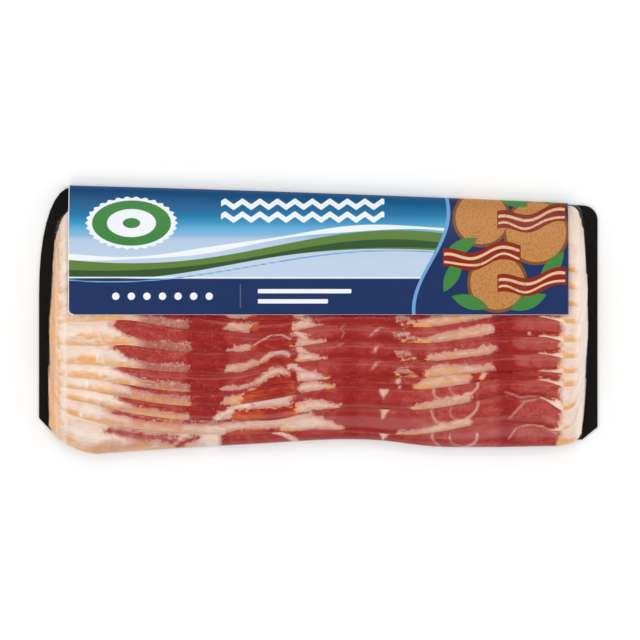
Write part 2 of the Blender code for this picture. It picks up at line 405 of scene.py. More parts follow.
class Tree:
    """A material's node tree, written as expressions."""

    def __init__(self, name: str) -> None:
        """Makes the material with an empty tree and its output.

        Args:
            name: The material's name.
        """
        self.material = bpy.data.materials.new(name)
        self.material.use_nodes = True
        self.nodes = self.material.node_tree.nodes
        self.links = self.material.node_tree.links
        self.nodes.clear()
        self.output = self.nodes.new("ShaderNodeOutputMaterial")

    def node(self, kind: str, settings: Optional[dict] = None,
             inputs: Optional[dict] = None) -> bpy.types.Node:
        """Adds a node.

        Args:
            kind: The node's type.
            settings: Its own properties, set first.
            inputs: Values or wires for its sockets, by name or number.

        Returns:
            The node.
        """
        made = self.nodes.new(kind)
        for key, value in (settings or {}).items():
            setattr(made, key, value)
        for key, value in (inputs or {}).items():
            if isinstance(value, Wire):
                self.links.new(value.socket, made.inputs[key])
            else:
                made.inputs[key].default_value = value
        return made

    def place(self, scale: tuple = (1.0, 1.0, 1.0)) -> Wire:
        """Object coordinates in millimetres.

        Args:
            scale: Factor along each axis.

        Returns:
            The stretched coordinates.
        """
        source = self.node("ShaderNodeTexCoord")
        stretched = self.node("ShaderNodeVectorMath", {"operation": "MULTIPLY"},
                              {0: Wire(self, source.outputs["Object"]), 1: tuple(s / MM for s in scale)})
        return Wire(self, stretched.outputs[0])

    def axis(self, number: int) -> Wire:
        """One object coordinate in millimetres."""
        parts = self.node("ShaderNodeSeparateXYZ", None, {0: self.place()})
        return Wire(self, parts.outputs[number])

    def noise(self, place: Wire, scale: float, detail: float = 2.0, roughness: float = 0.5) -> Wire:
        """Noise around 0.5.

        Args:
            place: The coordinates.
            scale: Waves a millimetre.
            detail: How many finer layers it has.
            roughness: How strong they are.

        Returns:
            The noise.
        """
        made = self.node("ShaderNodeTexNoise", None,
                         {"Vector": place, "Scale": scale, "Detail": detail, "Roughness": roughness})
        return Wire(self, made.outputs[0])

    def attribute(self, name: str) -> Wire:
        """A number stored on the piece's points."""
        made = self.node("ShaderNodeAttribute", {"attribute_name": name})
        return Wire(self, made.outputs["Fac"])

    def mix(self, factor: Value, first: Colour, second: Colour) -> Wire:
        """A colour between two colours."""
        made = self.node("ShaderNodeMix", {"data_type": "RGBA"}, {0: factor, 6: first, 7: second})
        return Wire(self, made.outputs[2])

    def ramp(self, value: Wire, stops: Sequence[tuple]) -> Wire:
        """A colour ramp.

        Args:
            value: Where the ramp is read.
            stops: Pairs of a place and a colour, rising.

        Returns:
            The colour.
        """
        made = self.node("ShaderNodeValToRGB", None, {0: value})
        elements = made.color_ramp.elements
        while len(elements) < len(stops):
            elements.new(0.5)
        for element, (place, colour) in zip(elements, stops):
            element.position = place
            element.color = colour
        return Wire(self, made.outputs[0])

    def bump(self, height: Wire, strength: float, distance: float) -> Wire:
        """A bump normal.

        Args:
            height: The height.
            strength: How strong the bump is, up to 1.
            distance: How high a height of 1 is, in millimetres.

        Returns:
            The normal.
        """
        made = self.node("ShaderNodeBump", None,
                         {"Strength": strength, "Distance": distance * MM, "Height": height})
        return Wire(self, made.outputs[0])

    def principled(self, **inputs: Union[Value, Colour]) -> "Tree":
        """Finishes the tree with a Principled shader.

        Args:
            inputs: Its inputs by name, with underscores for blanks.

        Returns:
            The tree.
        """
        named = {key.replace("_", " "): value for key, value in inputs.items()}
        shader = self.node("ShaderNodeBsdfPrincipled", None, named)
        self.links.new(shader.outputs[0], self.output.inputs[0])
        return self


def dress(made: bpy.types.Object, material: bpy.types.Material, node: str) -> None:
    """Gives a piece its material, its body and the CAD node that it stands for.

    Args:
        made: The piece.
        material: Its material.
        node: The CAD node.
    """
    made.data.materials.append(material)
    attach(made, "root")
    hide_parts(node)
    log.info("%s: %d faces", made.name, len(made.data.polygons))


@dataclass(frozen=True)
class BaconFinish:
    """Colours of lean, fat and smoked edge, mixed by the fields that each slice carries, and a near-white
    colour for painted highlights.
    """

    lean: tuple = srgb(163, 39, 33)
    lean_deep: tuple = srgb(146, 5, 7)
    lean_pink: tuple = srgb(179, 79, 69)
    fat: tuple = srgb(231, 208, 194)
    fat_pink: tuple = srgb(208, 152, 136)
    cream: tuple = srgb(222, 170, 122)
    smoke: tuple = srgb(231, 168, 102)
    bark: tuple = srgb(152, 15, 4)
    ember: tuple = srgb(197, 78, 28)
    # Colour of the pale connective lines in the meat, also used for a painted glint line at the left end.
    vein_and_glint: tuple = srgb(228, 186, 172)
    # Colour of the painted highlights on ridges, end walls and glints.
    painted_highlight: tuple = srgb(252, 236, 222)

    def material(self) -> bpy.types.Material:
        """The bacon material: fields set the broad pattern, noises break its borders.

        Returns:
            The material.
        """
        tree = Tree("bacon")
        fat = tree.attribute("fat")
        cream = tree.attribute("cream")
        threads = tree.noise(tree.place((1.2, 0.5, 0.5)), 1.0, 3.0) - 0.5
        grain = tree.noise(tree.place(), 1.15, 3.0, 0.6) - 0.5
        lumps = tree.noise(tree.place((0.4, 1.0, 1.0)), 0.7, 3.0) - 0.5
        cloud = tree.noise(tree.place((0.6, 1.0, 1.0)), 0.3, 3.0) - 0.5
        edge = fat + threads * 3.0 + grain * 3.6 + lumps * 3.6
        fat_mask = edge.step(-0.7, 0.8)
        deepness = tree.attribute("dark") + cloud * 2.6 + threads * 2.6 + grain * 2.4
        lean = tree.mix(deepness.step(-0.1, 1.2), self.lean, self.lean_deep)
        lean = tree.mix((0.0 - deepness).step(-0.1, 1.2), lean, self.lean_pink)
        speck = (grain * 0.6 + threads * 0.5 + lumps * 0.3).step(0.05, 0.2)
        lean = tree.mix(speck * 0.3, lean, self.fat_pink)
        pale = tree.mix((cream + cloud * 1.8 + lumps * 1.6).step(0.0, 1.4), self.fat, self.cream)
        pale = tree.mix((3.1 - fat + grain * 2.4 + lumps * 2.8).step(0.2, 2.8) * 0.8, pale, self.fat_pink)
        base = tree.mix(fat_mask, lean, pale)
        fuzz = tree.attribute("blend") * (grain * 0.5 + threads * 0.6 + 0.5).step(-0.3, 1.2) * 1.6
        base = tree.mix(fuzz.at_most(1.0), base, lean)
        burnt = (tree.attribute("smoke") + grain * 0.7 + lumps * 1.5 + cloud * 0.6).step(0.15, 1.15)
        crust = tree.mix((cream + cloud * 1.2 + lumps * 1.2).step(0.1, 1.0), self.bark, self.ember)
        base = tree.mix(burnt * 0.95, base, tree.mix(fat_mask, crust, self.smoke))
        vein_and_glint = tree.attribute("vein_and_glint") * (grain * 2.0 + lumps * 1.0 + 1.0)
        base = tree.mix(vein_and_glint.at_most(1.0), base, self.vein_and_glint)
        # Painted highlight: the colour moves toward near-white where the slice carries this field.
        base = tree.mix(tree.attribute("painted_highlight"), base, self.painted_highlight)
        relief = grain * 0.6 + threads * 0.4 + fat_mask * 0.4
        tree.principled(Base_Color=base, Roughness=0.5 - fat_mask * 0.08, Specular_IOR_Level=0.2,
                        Normal=tree.bump(relief, 0.25, 0.25), Subsurface_Weight=0.2,
                        Subsurface_Radius=(1.0, 0.4, 0.25), Subsurface_Scale=1.0 * MM)
        return tree.material


@dataclass(frozen=True)
class BaconSlices:
    """The overlapping slices: tilted slabs with their own marbling, each over the one below."""

    form: PackForm
    stations: int = 520
    crowding: float = 0.035
    nose_rows: tuple = (0.0, 0.02, 0.08, 0.18, 0.34, 0.56, 0.78, 1.0)
    strip_rows: int = 17
    hidden_rows: tuple = (1.5, 5.0, 11.0, 19.0, 28.0)
    end_closing: tuple = (0.0, 0.75, 1.0)
    end_bulge: tuple = (0.5, 0.35, 0.0)
    underside: float = 0.06
    thinnest: float = 0.02
    lap: float = 0.03

    def rows(self, k: int, x: np.ndarray) -> np.ndarray:
        """Heights above slice k's lower edge of all the rows of its top, nose first.

        Args:
            k: Number of the slice, 0 at the bottom.
            x: Nominal places along X.

        Returns:
            Array of rows and columns.
        """
        form = self.form
        strip = form.foot(k + 1, x) - form.foot(k, x)
        nose = [np.full_like(x, form.nose * f) for f in self.nose_rows]
        if k == 0:
            nose = [np.full_like(x, form.nose * f**1.5) for f in self.nose_rows]
        middle = [form.nose + (strip - form.nose) * (n + 1) / self.strip_rows for n in range(self.strip_rows)]
        limit = form.block_top - 0.4 - form.foot(k, x)
        hidden = [np.minimum(strip + h, limit) for h in self.hidden_rows]
        if k == SLICES - 1:
            hidden = []
            middle[-1] = limit
        return np.array([*nose, *middle, *hidden])

    def drop(self, k: int, e: np.ndarray, strip: np.ndarray, step: Union[float, np.ndarray]) -> np.ndarray:
        """How far slice k's top lies below the block's smooth envelope.

        Args:
            k: Number of the slice.
            e: Heights above its lower edge, in plan.
            strip: Width of its bare strip.
            step: Height of the step at each point.

        Returns:
            Round up over the nose, a gentle fall to the next slice, then a steeper hidden fall.
        """
        form = self.form
        nose = form.nose
        foot = np.clip(1 - e / nose, 0.0, 1.0) ** 1.7
        slope = np.clip((e - nose) / (strip - nose), 0.0, 1.0)
        rise = 0.0 if k == 0 else 1.0
        fall = 0.0 if k == SLICES - 1 else 1.0
        hidden = fall * form.hidden_slope * np.maximum(e - strip, 0.0)
        return step * (rise * foot + fall * slope) + hidden

    def build(self, k: int) -> bpy.types.Object:
        """Makes slice k as one closed slab with its fields.

        Args:
            k: Number of the slice, 0 at the bottom.

        Returns:
            The slice.
        """
        form = self.form
        share = np.linspace(0.0, 1.0, self.stations)
        share = share - self.crowding * np.sin(2 * np.pi * share) / (2 * np.pi)
        nominal = form.block_left + share * (form.block_right - form.block_left)
        e = self.rows(k, nominal)
        strip = form.foot(k + 1, nominal) - form.foot(k, nominal)
        x0 = np.broadcast_to(nominal, e.shape)
        y = form.placed(x0, form.foot(k, nominal) + e)
        shift = np.random.default_rng(40 + k).uniform(0.0, 1.0, 2)
        wobble = 0.25 * ripple(y, np.full_like(y, 7.0 * k), 4.0, 5)
        inset = form.end_place(self.layer_ratio(e, strip)) + self.end_bulge[0] + 0.15
        if k == 0:
            inset = np.full_like(y, self.end_bulge[0] + 0.25)
            shift = shift * 0.0
        left = form.left_end(y) + inset + shift[0] + wobble
        right = form.right_end(y) - inset - shift[1] + wobble
        x = left + share * (right - left)
        tops, bottoms = self.heights(k, x, y, x0, e, strip)
        x = self.closed_ends(x, self.end_bulge[0] - np.array(self.end_bulge[1:]))
        y, tops, bottoms, e = (self.closed_ends(values, np.zeros(2)) for values in (y, tops, bottoms, e))
        middle = (tops + bottoms) / 2
        closing = np.zeros(x.shape[1])
        closing[:2] = self.end_closing[:0:-1]
        closing[-2:] = self.end_closing[1:]
        tops = middle + (tops - middle) * (1 - closing)
        bottoms = middle + (bottoms - middle) * (1 - closing)
        base = form.board + form.gap
        upper = np.stack([x, y, base + tops], axis=-1)
        lower = np.stack([x, y, base + bottoms], axis=-1)[::-1]
        fields = BaconPattern().fields(SliceMap(form, k, x, e))
        fields = {name: np.concatenate([values, values[::-1]]) for name, values in fields.items()}
        return object_from_grid(f"bacon_slice_{k + 1:02d}", np.concatenate([upper, lower]), fields, True)

    def layer_ratio(self, e: np.ndarray, strip: np.ndarray) -> np.ndarray:
        """Where in the stack the slab lies.

        Args:
            e: Heights above the lower edge, in plan.
            strip: Width of the bare strip.

        Returns:
            The height of the slab's middle as a share of the whole stack's height there.
        """
        form = self.form
        top = form.hidden_slope * np.maximum(e - strip, 0.0)
        middle = top + 0.5 * (form.step + (form.hidden_slope - form.step / strip) * np.minimum(e, strip))
        return np.clip(1 - middle / (form.block_height - form.rim), 0.0, 0.97)

    def heights(self, k: int, x: np.ndarray, y: np.ndarray, x0: np.ndarray, e: np.ndarray,
                strip: np.ndarray) -> tuple:
        """Heights of the slab's top and underside above the board's face.

        Args:
            k: Number of the slice.
            x: Real X.
            y: Real Y.
            x0: Nominal X.
            e: Heights above the lower edge, in plan.
            strip: Width of the bare strip.

        Returns:
            Two arrays, top and underside.
        """
        form = self.form
        full = form.fullness(x, y, x0)
        tall = form.block_height - form.rim
        step = form.relief(x, y)
        tops = form.rim + full * (tall - self.drop(k, e, strip, step)) - form.film_gap
        tops = np.maximum(tops, 0.4)
        if k == 0:
            wall = np.clip(e / (form.nose * 0.08), 0.0, 1.0)
            tops = 0.3 + (tops - 0.3) * wall
            return tops, np.full_like(tops, self.underside)
        below = form.rim + full * (tall - step - form.hidden_slope * e) - form.film_gap + self.lap
        return tops, np.clip(below, self.underside, tops - self.thinnest)

    @staticmethod
    def closed_ends(values: np.ndarray, out: np.ndarray) -> np.ndarray:
        """Adds two columns at each end, moved outwards."""
        return np.concatenate([values[:, :1] - out[::-1], values, values[:, -1:] + out], axis=1)

    def make(self) -> None:
        """Builds and dresses all slices."""
        material = BaconFinish().material()
        for k in range(SLICES):
            dress(self.build(k), material, "sealed_bacon")


def both(*depths: np.ndarray) -> np.ndarray:
    """Depth inside all of some marks: the least of their depths."""
    return np.minimum.reduce(np.broadcast_arrays(*depths))


class SliceMap:
    """The points of one slice's surface and the fields that its material reads.

    A mark is a signed depth in millimetres, positive inside. The field fat is such a depth, and the
    others are shares from 0 to 1. Places run along the slice from the pack's middle, and heights go
    up from the slice's lower edge.
    """

    def __init__(self, form: PackForm, k: int, x: np.ndarray, e: np.ndarray) -> None:
        """Bends the places a little, so that no mark has an even border, and starts the fields.

        Args:
            form: The pack's form.
            k: Number of the slice, 0 at the bottom.
            x: Real X of its points.
            e: Height of its points above its lower edge, in plan.
        """
        self.k = k
        self.n = min(k, SHOWN - 1)
        self.x = x + 0.5 * ripple(x, e + 11.0 * k, 7.0, 3) + 0.3 * ripple(x, e + 5.0 * k, 1.8, 13)
        x = self.x
        self.e = e + 0.35 * ripple(x, e + 13.0 * k, 6.0, 4) + 0.3 * ripple(x, e + 7.0 * k, 2.0, 14)
        self.strip = form.foot(k + 1, x) - form.foot(k, x)
        self.fields = {"fat": np.full(x.shape, -2.5)}
        self.fields.update({share.value: np.zeros(x.shape) for share in Share})

    def span(self, start: float, end: float) -> np.ndarray:
        """Depth inside a stretch along the slice."""
        return np.minimum(self.x - start, end - self.x)

    def band(self, places: Sequence[float], low: Sequence[float], high: Sequence[float]) -> np.ndarray:
        """Depth inside a strip between two smooth curves through heights at some places.

        Args:
            places: Places where the strip's curves are given, rising.
            low: The lower curve's heights there.
            high: The upper curve's heights there.

        Returns:
            The least distance to the two curves and to the two ends.
        """
        above = self.e - smooth_line(self.x, places, low)
        below = smooth_line(self.x, places, high) - self.e
        ends = self.span(places[0], places[-1]) - 0.25 * np.abs(above - below)
        return both(above, below, ends + 0.6)

    def stroke(self, points: Sequence[tuple], width: float) -> np.ndarray:
        """Depth inside a line of even width.

        Args:
            points: The line's corners.
            width: Its full width.

        Returns:
            Half the width less the distance to the nearest piece of the line.
        """
        nearest = np.full(self.x.shape, 1e9)
        for (x0, e0), (x1, e1) in zip(points, points[1:]):
            run, rise = x1 - x0, e1 - e0
            t = ((self.x - x0) * run + (self.e - e0) * rise) / (run * run + rise * rise)
            t = np.clip(t, 0.0, 1.0)
            nearest = np.minimum(nearest, np.hypot(self.x - x0 - t * run, self.e - e0 - t * rise))
        return width / 2 - nearest

    def spot(self, centre: tuple, reach: tuple) -> np.ndarray:
        """Depth inside an ellipse, from its centre and its two radii."""
        far = np.hypot((self.x - centre[0]) / reach[0], (self.e - centre[1]) / reach[1])
        return (1 - far) * min(reach)

    def rough(self, size: float, seed: int, lift: float = 0.0) -> np.ndarray:
        """A smooth random field over the slice."""
        return ripple(self.x, self.e + lift, size, seed)

    def upright(self, size: float, seed: int) -> np.ndarray:
        """A smooth random field that changes only with the height."""
        return ripple(self.e, 0 * self.e, size, seed)

    def paint(self, tissue: Tissue, depth: np.ndarray) -> None:
        """Lays a mark of fat or lean over what is there.

        Args:
            tissue: What the mark is made of.
            depth: Depth inside the mark.
        """
        if tissue is Tissue.FAT:
            self.fields["fat"] = np.maximum(self.fields["fat"], depth)
        else:
            self.fields["fat"] = np.minimum(self.fields["fat"], -depth)

    def tint(self, share: Share, depth: np.ndarray, strength: Union[float, np.ndarray],
             soft: float = 0.8) -> None:
        """Raises a share to a strength inside a mark, with a soft border."""
        raised = strength * smoothstep(depth, -soft / 2, soft)
        self.fields[share.value] = np.maximum(self.fields[share.value], raised)

    def shade(self, depth: np.ndarray, amount: float, soft: float = 2.0) -> None:
        """Darkens lean inside a mark, or lightens it where the amount is below 0."""
        dark = Share.DARK.value
        self.fields[dark] = self.fields[dark] + amount * smoothstep(depth, -soft, soft)

    def fuzz(self, depth: np.ndarray, level: float) -> None:
        """Mixes lean into the fat inside a mark, in fine threads."""
        blend = Share.BLEND.value
        self.fields[blend] = np.maximum(self.fields[blend], level * smoothstep(depth, -1.0, 1.4))


@dataclass(frozen=True)
class BaconPattern:
    """Where lean, fat and smoked edge lie on each slice.

    The slices are cut one after another from one piece, so each mark comes back on the next slice,
    a little changed: a tuple holds a mark's size or place on the shown slices, bottom slice first.
    """

    tongue_tip: tuple = (-110.0, -108.0, -104.0, -105.0, -104.8, -106.4, -106.9, -107.0)
    tongue_height: tuple = (11.0, 6.8, 6.6, 6.6, 7.5, 10.0, 10.3, 8.0)
    tongue_low: tuple = (
        (9.4, 6.4, 5.0, 2.4), (5.6, 5.8, 5.9, 6.0), (5.2, 4.4, 3.6, 4.3), (6.1, 5.0, 4.8, 4.6),
        (6.2, 4.4, 4.6, 3.6), (6.8, 4.0, 4.2, 4.2), (6.9, 3.6, 4.4, 4.4), (6.4, 4.2, 4.5, 4.4))
    tongue_end: tuple = (-74.5, -52.0, -67.5, -62.5, -62.6, -65.5, -66.1, -68.5)
    trunk_left: tuple = (0.0, 0.0, -67.0, -61.4, -63.8, -66.4, -65.8, -66.6)
    fat_end: tuple = (-50.0, -50.0, *(-66.0,) * 6)
    under_fuzz: tuple = (0.25, 0.3, 0.42, 0.5, 0.7, 0.82, 0.82, 0.74)
    under_smoke: tuple = (0.35, 0.5, 0.8, 0.78)
    creases: tuple = (
        (((-128.0, 3.4), (4.4, 3.2)), ((-120.0, 0.5), (9.0, 2.2)), ((-92.0, 1.0), (8.0, 1.8))),
        (((-126.7, 1.6), (4.8, 3.8)), ((-118.4, 0.4), (5.4, 2.4)), ((-109.0, 1.4), (5.0, 2.2)),
         ((-81.0, 6.8), (7.5, 1.9))),
        (((-125.9, 1.8), (5.0, 2.8)), ((-114.0, 0.9), (3.4, 2.2)), ((-105.0, 2.0), (4.0, 2.2))),
        (((-118.5, 0.8), (13.0, 2.0)), ((-110.0, 2.0), (5.0, 2.6))),
        (((-124.0, 1.6), (5.4, 2.8)), ((-113.0, 2.0), (4.6, 2.8)), ((-99.0, 1.2), (9.0, 2.0))),
        (((-118.5, 2.4), (7.4, 3.8)), ((-102.0, 1.4), (7.0, 2.0))),
        (((-123.9, 0.9), (4.6, 2.4)), ((-103.0, 2.0), (11.0, 2.6)), ((-118.0, 5.0), (4.6, 2.6))),
        (((-109.0, 1.2), (15.0, 2.2)),))
    # Painted glints of the film's wrinkles on the fat left end: a centre and two radii for each shown slice,
    # or none.
    glints: tuple = (None, ((-122.1, 2.8), (1.0, 1.6)), None, ((-119.3, 3.7), (1.2, 2.2)),
                     ((-112.3, 3.9), (0.9, 2.2)), ((-113.7, 4.6), (0.8, 2.4)),
                     ((-127.0, 6.0), (3.0, 1.0)), None)
    streak_left: tuple = (0.0, 0.0, -52.0, -49.5, -50.6, -49.0, -46.2, -48.4)
    streak_height: tuple = (0.0, 0.0, 3.0, 4.6, 2.7, 4.3, 2.9, 4.8)
    arch_places: tuple = (-34.5, -28.5, -23.0, -18.0, -12.8)
    arch_high: tuple = (
        (), (6.6, 6.6, 6.8, 8.0, 9.0), (14.0,) * 5, (), (2.2, 6.4, 8.9, 7.9, 4.0), (2.2, 5.6, 8.0, 7.4, 3.4),
        (), ())
    arch_low: tuple = (
        (), (2.3, 2.5, 2.6, 2.3, 1.0), (5.6, 6.3, 6.8, 6.4, 5.0), (), (-0.8, 2.2, 5.0, 4.6, 1.4),
        (0.2, 3.0, 5.6, 5.0, 2.0), (), ())
    core_spread: tuple = (0.0, 12.0, 9.0, 4.5, 1.0, 1.0, 0.5, 0.5)
    core_high: tuple = (
        (), (2.0, 2.5, 2.5, 2.2, 0.6), (5.0, 6.2, 6.8, 6.4, 4.6), (5.0, 9.0, 12.0, 12.0, 7.0),
        (0.6, 2.4, 4.6, 4.6, 2.0), (1.0, 3.0, 4.8, 4.6, 1.8), (2.8, 5.6, 7.2, 6.8, 3.6),
        (4.0, 8.0, 9.5, 9.0, 5.0))
    core_ember: tuple = (0.0, 0.85, 0.8, 0.75, 0.6, 0.6, 0.6, 0.4)
    wing_tip: tuple = (0.0, 12.8, 10.7, 8.3, 5.4, 3.8, 2.4, 0.7)
    wing_height: tuple = (0.0, 8.6, 6.3, 4.9, 5.4, 4.3, 4.2, 4.5)
    wing_start: tuple = (0.0, -20.0, -12.0, -9.4, -10.8, -11.8, -13.6, -12.4)
    triangle_height: tuple = (4.2, 5.6, 5.2)
    curls: tuple = (((10.0, 7.0), (13.0, 8.0)), ((12.0, 2.0), (13.6, 4.4), (11.4, 6.6), (14.0, 8.6)))
    clump_low: tuple = (0.2, 1.0, 1.2, 1.6)
    clump_fuzz: tuple = (0.6, 0.5, 0.3, 0.4)
    bars: tuple = (
        (),
        ((41.0, 52.0, 62.0, 78.6), (0.0, 0.0, -0.1, 0.3), (1.4, 2.2, 3.9, 4.0)),
        ((48.0, 56.0, 66.0, 78.4), (0.2, 0.0, -0.1, 0.3), (1.6, 3.0, 4.4, 4.6)),
        ((50.0, 56.0, 66.0, 78.2), (0.4, -0.3, -0.4, 0.2), (1.8, 5.6, 7.0, 6.6)),
        ((55.0, 60.0, 72.0, 90.6), (0.4, -0.2, -0.2, 0.8), (3.2, 5.2, 5.2, 3.6)),
        ((56.0, 62.0, 76.0, 90.6), (0.4, 0.0, 0.0, 0.8), (2.6, 3.7, 4.2, 4.6)),
        ((51.5, 62.0, 78.0, 89.8), (0.4, 0.1, 0.2, 1.2), (1.8, 4.0, 5.6, 6.0)),
        ((50.0, 60.0, 76.0, 90.0), (0.4, 0.2, 0.2, 0.8), (2.4, 5.4, 6.4, 6.4)))
    loop_span: tuple = ((6.9, -0.4), (11.8, 3.4), (10.6, 3.6))
    chunk_low: tuple = (2.2, 3.4, 3.4, 2.6, 2.6, 2.6, 3.2, 3.4)
    chunk_lines: tuple = (
        (((97.8, 4.6), (102.0, 9.8), (110.0, 12.0), (120.0, 8.8), (122.4, 6.8)), 0.5),
        (((98.2, 2.6), (101.6, 6.0), (105.8, 11.4), (112.0, 12.4)), 0.5),
        (((96.5, 2.6), (104.0, 0.9), (112.0, 0.6)), 0.55))
    wedges: tuple = ((-0.6, 0.6, 1.8, 5.0), (0.0, 1.2, 2.8, 6.0), (0.4, 0.9, 1.4, 3.0))

    def fields(self, m: SliceMap) -> dict:
        """All fields of one slice.

        Args:
            m: The slice's map, still empty.

        Returns:
            Arrays by name.
        """
        self.tongue(m)
        self.under_tongue(m)
        self.left_end(m)
        self.middle_part(m)
        self.right_part(m)
        self.bar_part(m)
        self.chunks(m)
        self.ends(m)
        return m.fields

    def tongue(self, m: SliceMap) -> None:
        """The fat left end, the lean tongue that reaches into it and the lean trunk it grows from.

        Args:
            m: The slice's map.
        """
        n, x, e = m.n, m.x, m.e
        tip, end = self.tongue_tip[n], self.tongue_end[n]
        low, start = self.tongue_low[n], self.tongue_height[n]
        m.paint(Tissue.FAT, np.minimum(self.fat_end[n] - x, 40.0))
        places = (tip, tip + 3.5, tip + 9.0, tip + 16.0, tip + 28.0, end)
        lows = (start, start * 0.35 + low[0] * 0.65, low[1] * 0.6 + low[0] * 0.4, low[1], low[2], low[3])
        high = start + (m.strip + 3.0 - start) * smoothstep(x, tip, tip + 6.0)
        depth = both(e - smooth_line(x, places, lows), high - e, m.span(tip, end + 30.0))
        if n == 0:
            depth = both(depth, 0.3 * (end - x), 13.2 - 0.2 * (x - tip) - e)
            depth = depth + 0.7 * m.rough(3.0, 17)
        if n == 1:
            m.fuzz(both(e - 5.4, m.span(-108.0, -40.0)), 0.45)
            line = ((-105.0, 7.4), (-91.9, 6.3), (-76.5, 4.6), (-66.0, 5.4), (-50.7, 4.8))
            depth = np.maximum(depth * 0.4 - 0.3, m.stroke(line, 1.9) * 1.6)
        m.paint(Tissue.LEAN, depth)
        if n >= 2:
            floor = -6.0 if n >= 3 else 2.3 + ((x + 57.0) / 8.0) ** 2
            side = -46.0 if n <= 3 else 1e3
            m.paint(Tissue.LEAN, both(m.span(self.trunk_left[n], side), e - floor))

    def under_tongue(self, m: SliceMap) -> None:
        """The smoked fat between a tongue and the slice's lower edge.

        Args:
            m: The slice's map.
        """
        n, x, e, low = m.n, m.x, m.e, self.tongue_low[m.n]
        last = self.trunk_left[n] + 0.4 if n > 1 else -58.0
        streak = m.band((-112.0, -92.0, -80.0, last), (-3.0,) * 4, (low[0] - 1.0, low[1], low[2], low[3]))
        leftward = smoothstep(x, -112.0, -92.0)
        if n < 2:
            leftward = leftward * (1 - smoothstep(x, -72.0, -56.0))
        if n >= 4:
            broken = streak + 1.2 * m.rough(2.6, 41, 6.0 * n)
            m.fuzz(np.minimum(broken, 0.25 * (x + 92.0)), self.under_fuzz[n])
            m.tint(Share.CREAM, streak, 0.3 + 0.45 * leftward, 2.0)
        else:
            m.tint(Share.CREAM, streak, 0.9 * leftward, 2.0)
            crust = self.under_smoke[n] * (1 + 0.3 * m.rough(5.0, 42)) * leftward
            m.tint(Share.SMOKE, np.minimum(streak, 3.0 - e), crust, 2.4)
            m.fuzz(streak, self.under_fuzz[n])
            m.fuzz(both(1.2 - np.abs(e - low[1] + 0.6), m.span(-100.0, self.tongue_end[n])), 0.5)
        if n == 4:
            m.tint(Share.SMOKE, np.minimum(streak, 1.6 - e), 0.6 * leftward, 1.2)
        if n == 0:
            m.fuzz(m.spot((-109.0, 2.6), (10.5, 3.0)), 0.5)
            m.fuzz(m.spot((-104.0, 5.4), (5.0, 2.0)), 0.45)
            m.fuzz(m.spot((-96.0, 2.4), (12.0, 2.2)), 0.4)
            m.tint(Share.SMOKE, m.spot((-113.0, 3.0), (16.0, 4.6)), 0.55, 4.0)
            m.fuzz(both(e - 7.0, m.span(-104.0, -60.0)), 0.35)
        m.shade(m.span(-68.0, -47.0), 0.7)
        m.shade(both(m.span(-108.0, -68.0), e - low[1]), -0.35)

    def left_end(self, m: SliceMap) -> None:
        """Painted highlights along the ridges of the fat left end and painted glints of the film, and orange
        marks where its smoked edge folds.

        Args:
            m: The slice's map.
        """
        n, x, e = m.n, m.x, m.e
        # Painted highlight along the ridge of each slice on the fat left end, where the film's sheen would
        # catch the light.
        crest_highlight = 2.0 - np.abs(e - 0.62 * m.strip) + 1.2 * m.rough(5.0, 43, 8.0 * n)
        m.tint(Share.PAINTED_HIGHLIGHT, both(crest_highlight, m.span(-129.0, -96.0) * 0.5, m.fields["fat"]), 0.45, 2.6)
        for centre, reach in self.creases[n]:
            m.tint(Share.SMOKE, m.spot(centre, reach), 1.15, 3.0)
        if n == 6:
            arc = m.stroke(((-124.0, 5.4), (-117.0, 8.0), (-113.0, 8.0), (-110.5, 2.6)), 1.8)
            m.tint(Share.SMOKE, arc, 0.85, 1.0)
        m.tint(Share.SMOKE, np.minimum(1.9 - e, -95.0 - x), 0.7, 2.4)
        m.tint(Share.CREAM, np.minimum(4.6 - e, -97.0 - x), 0.8, 4.0)
        m.tint(Share.CREAM, -100.0 - x, 0.25, 6.0)
        # Painted glint of a film wrinkle.
        if self.glints[n]:
            m.tint(Share.PAINTED_HIGHLIGHT, m.spot(*self.glints[n]), 0.9, 1.0)

    def middle_part(self, m: SliceMap) -> None:
        """The pale streak that rises into an arch over a smoked core, then runs out as a wing.

        Args:
            m: The slice's map.
        """
        if m.n == 0:
            m.paint(Tissue.LEAN, m.x + 49.0)
            m.tint(Share.VEIN_AND_GLINT, m.stroke(((-23.0, 6.5), (-15.5, 2.4), (-9.5, -1.5)), 2.5), 0.95, 0.7)
            m.paint(Tissue.LEAN, m.stroke(((-73.0, 0.6), (-68.0, 3.6), (-62.5, 5.4)), 2.0))
            return
        self.streak(m)
        self.arch(m)
        self.wing(m)

    def streak(self, m: SliceMap) -> None:
        """The pale streak left of the arch.

        Args:
            m: The slice's map.
        """
        n = m.n
        if n == 1:
            lowest = m.band((-96.0, -60.0, -40.0, -24.0, -8.0), (-3.0,) * 5, (5.2, 6.0, 6.8, 8.5, 9.5))
            m.paint(Tissue.FAT, lowest)
            m.tint(Share.CREAM, lowest, 0.5, 2.0)
            m.fuzz(np.minimum(lowest, m.x + 70.0), 0.2)
            return
        left, tall = self.streak_left[n], self.streak_height[n]
        depth = m.band((left, left + 3.0, -40.0, -31.0), (1.4, 0.4, 0.3, 1.2), (1.4, tall, tall, tall + 1.0))
        m.paint(Tissue.FAT, depth + 0.1)
        m.tint(Share.CREAM, depth, 0.95, 2.0)
        m.fuzz(depth + 0.4, 0.22)
        if n == 2:
            m.paint(Tissue.FAT, m.band((-54.0, -44.0, -34.0), (-3.0, 2.4, 5.6), (2.4, 7.5, 12.0)))
        if n == 3:
            m.paint(Tissue.FAT, m.band((-40.0, -33.0, -28.0), (1.0, 4.0, 7.0), (4.4, 7.5, 9.0)))

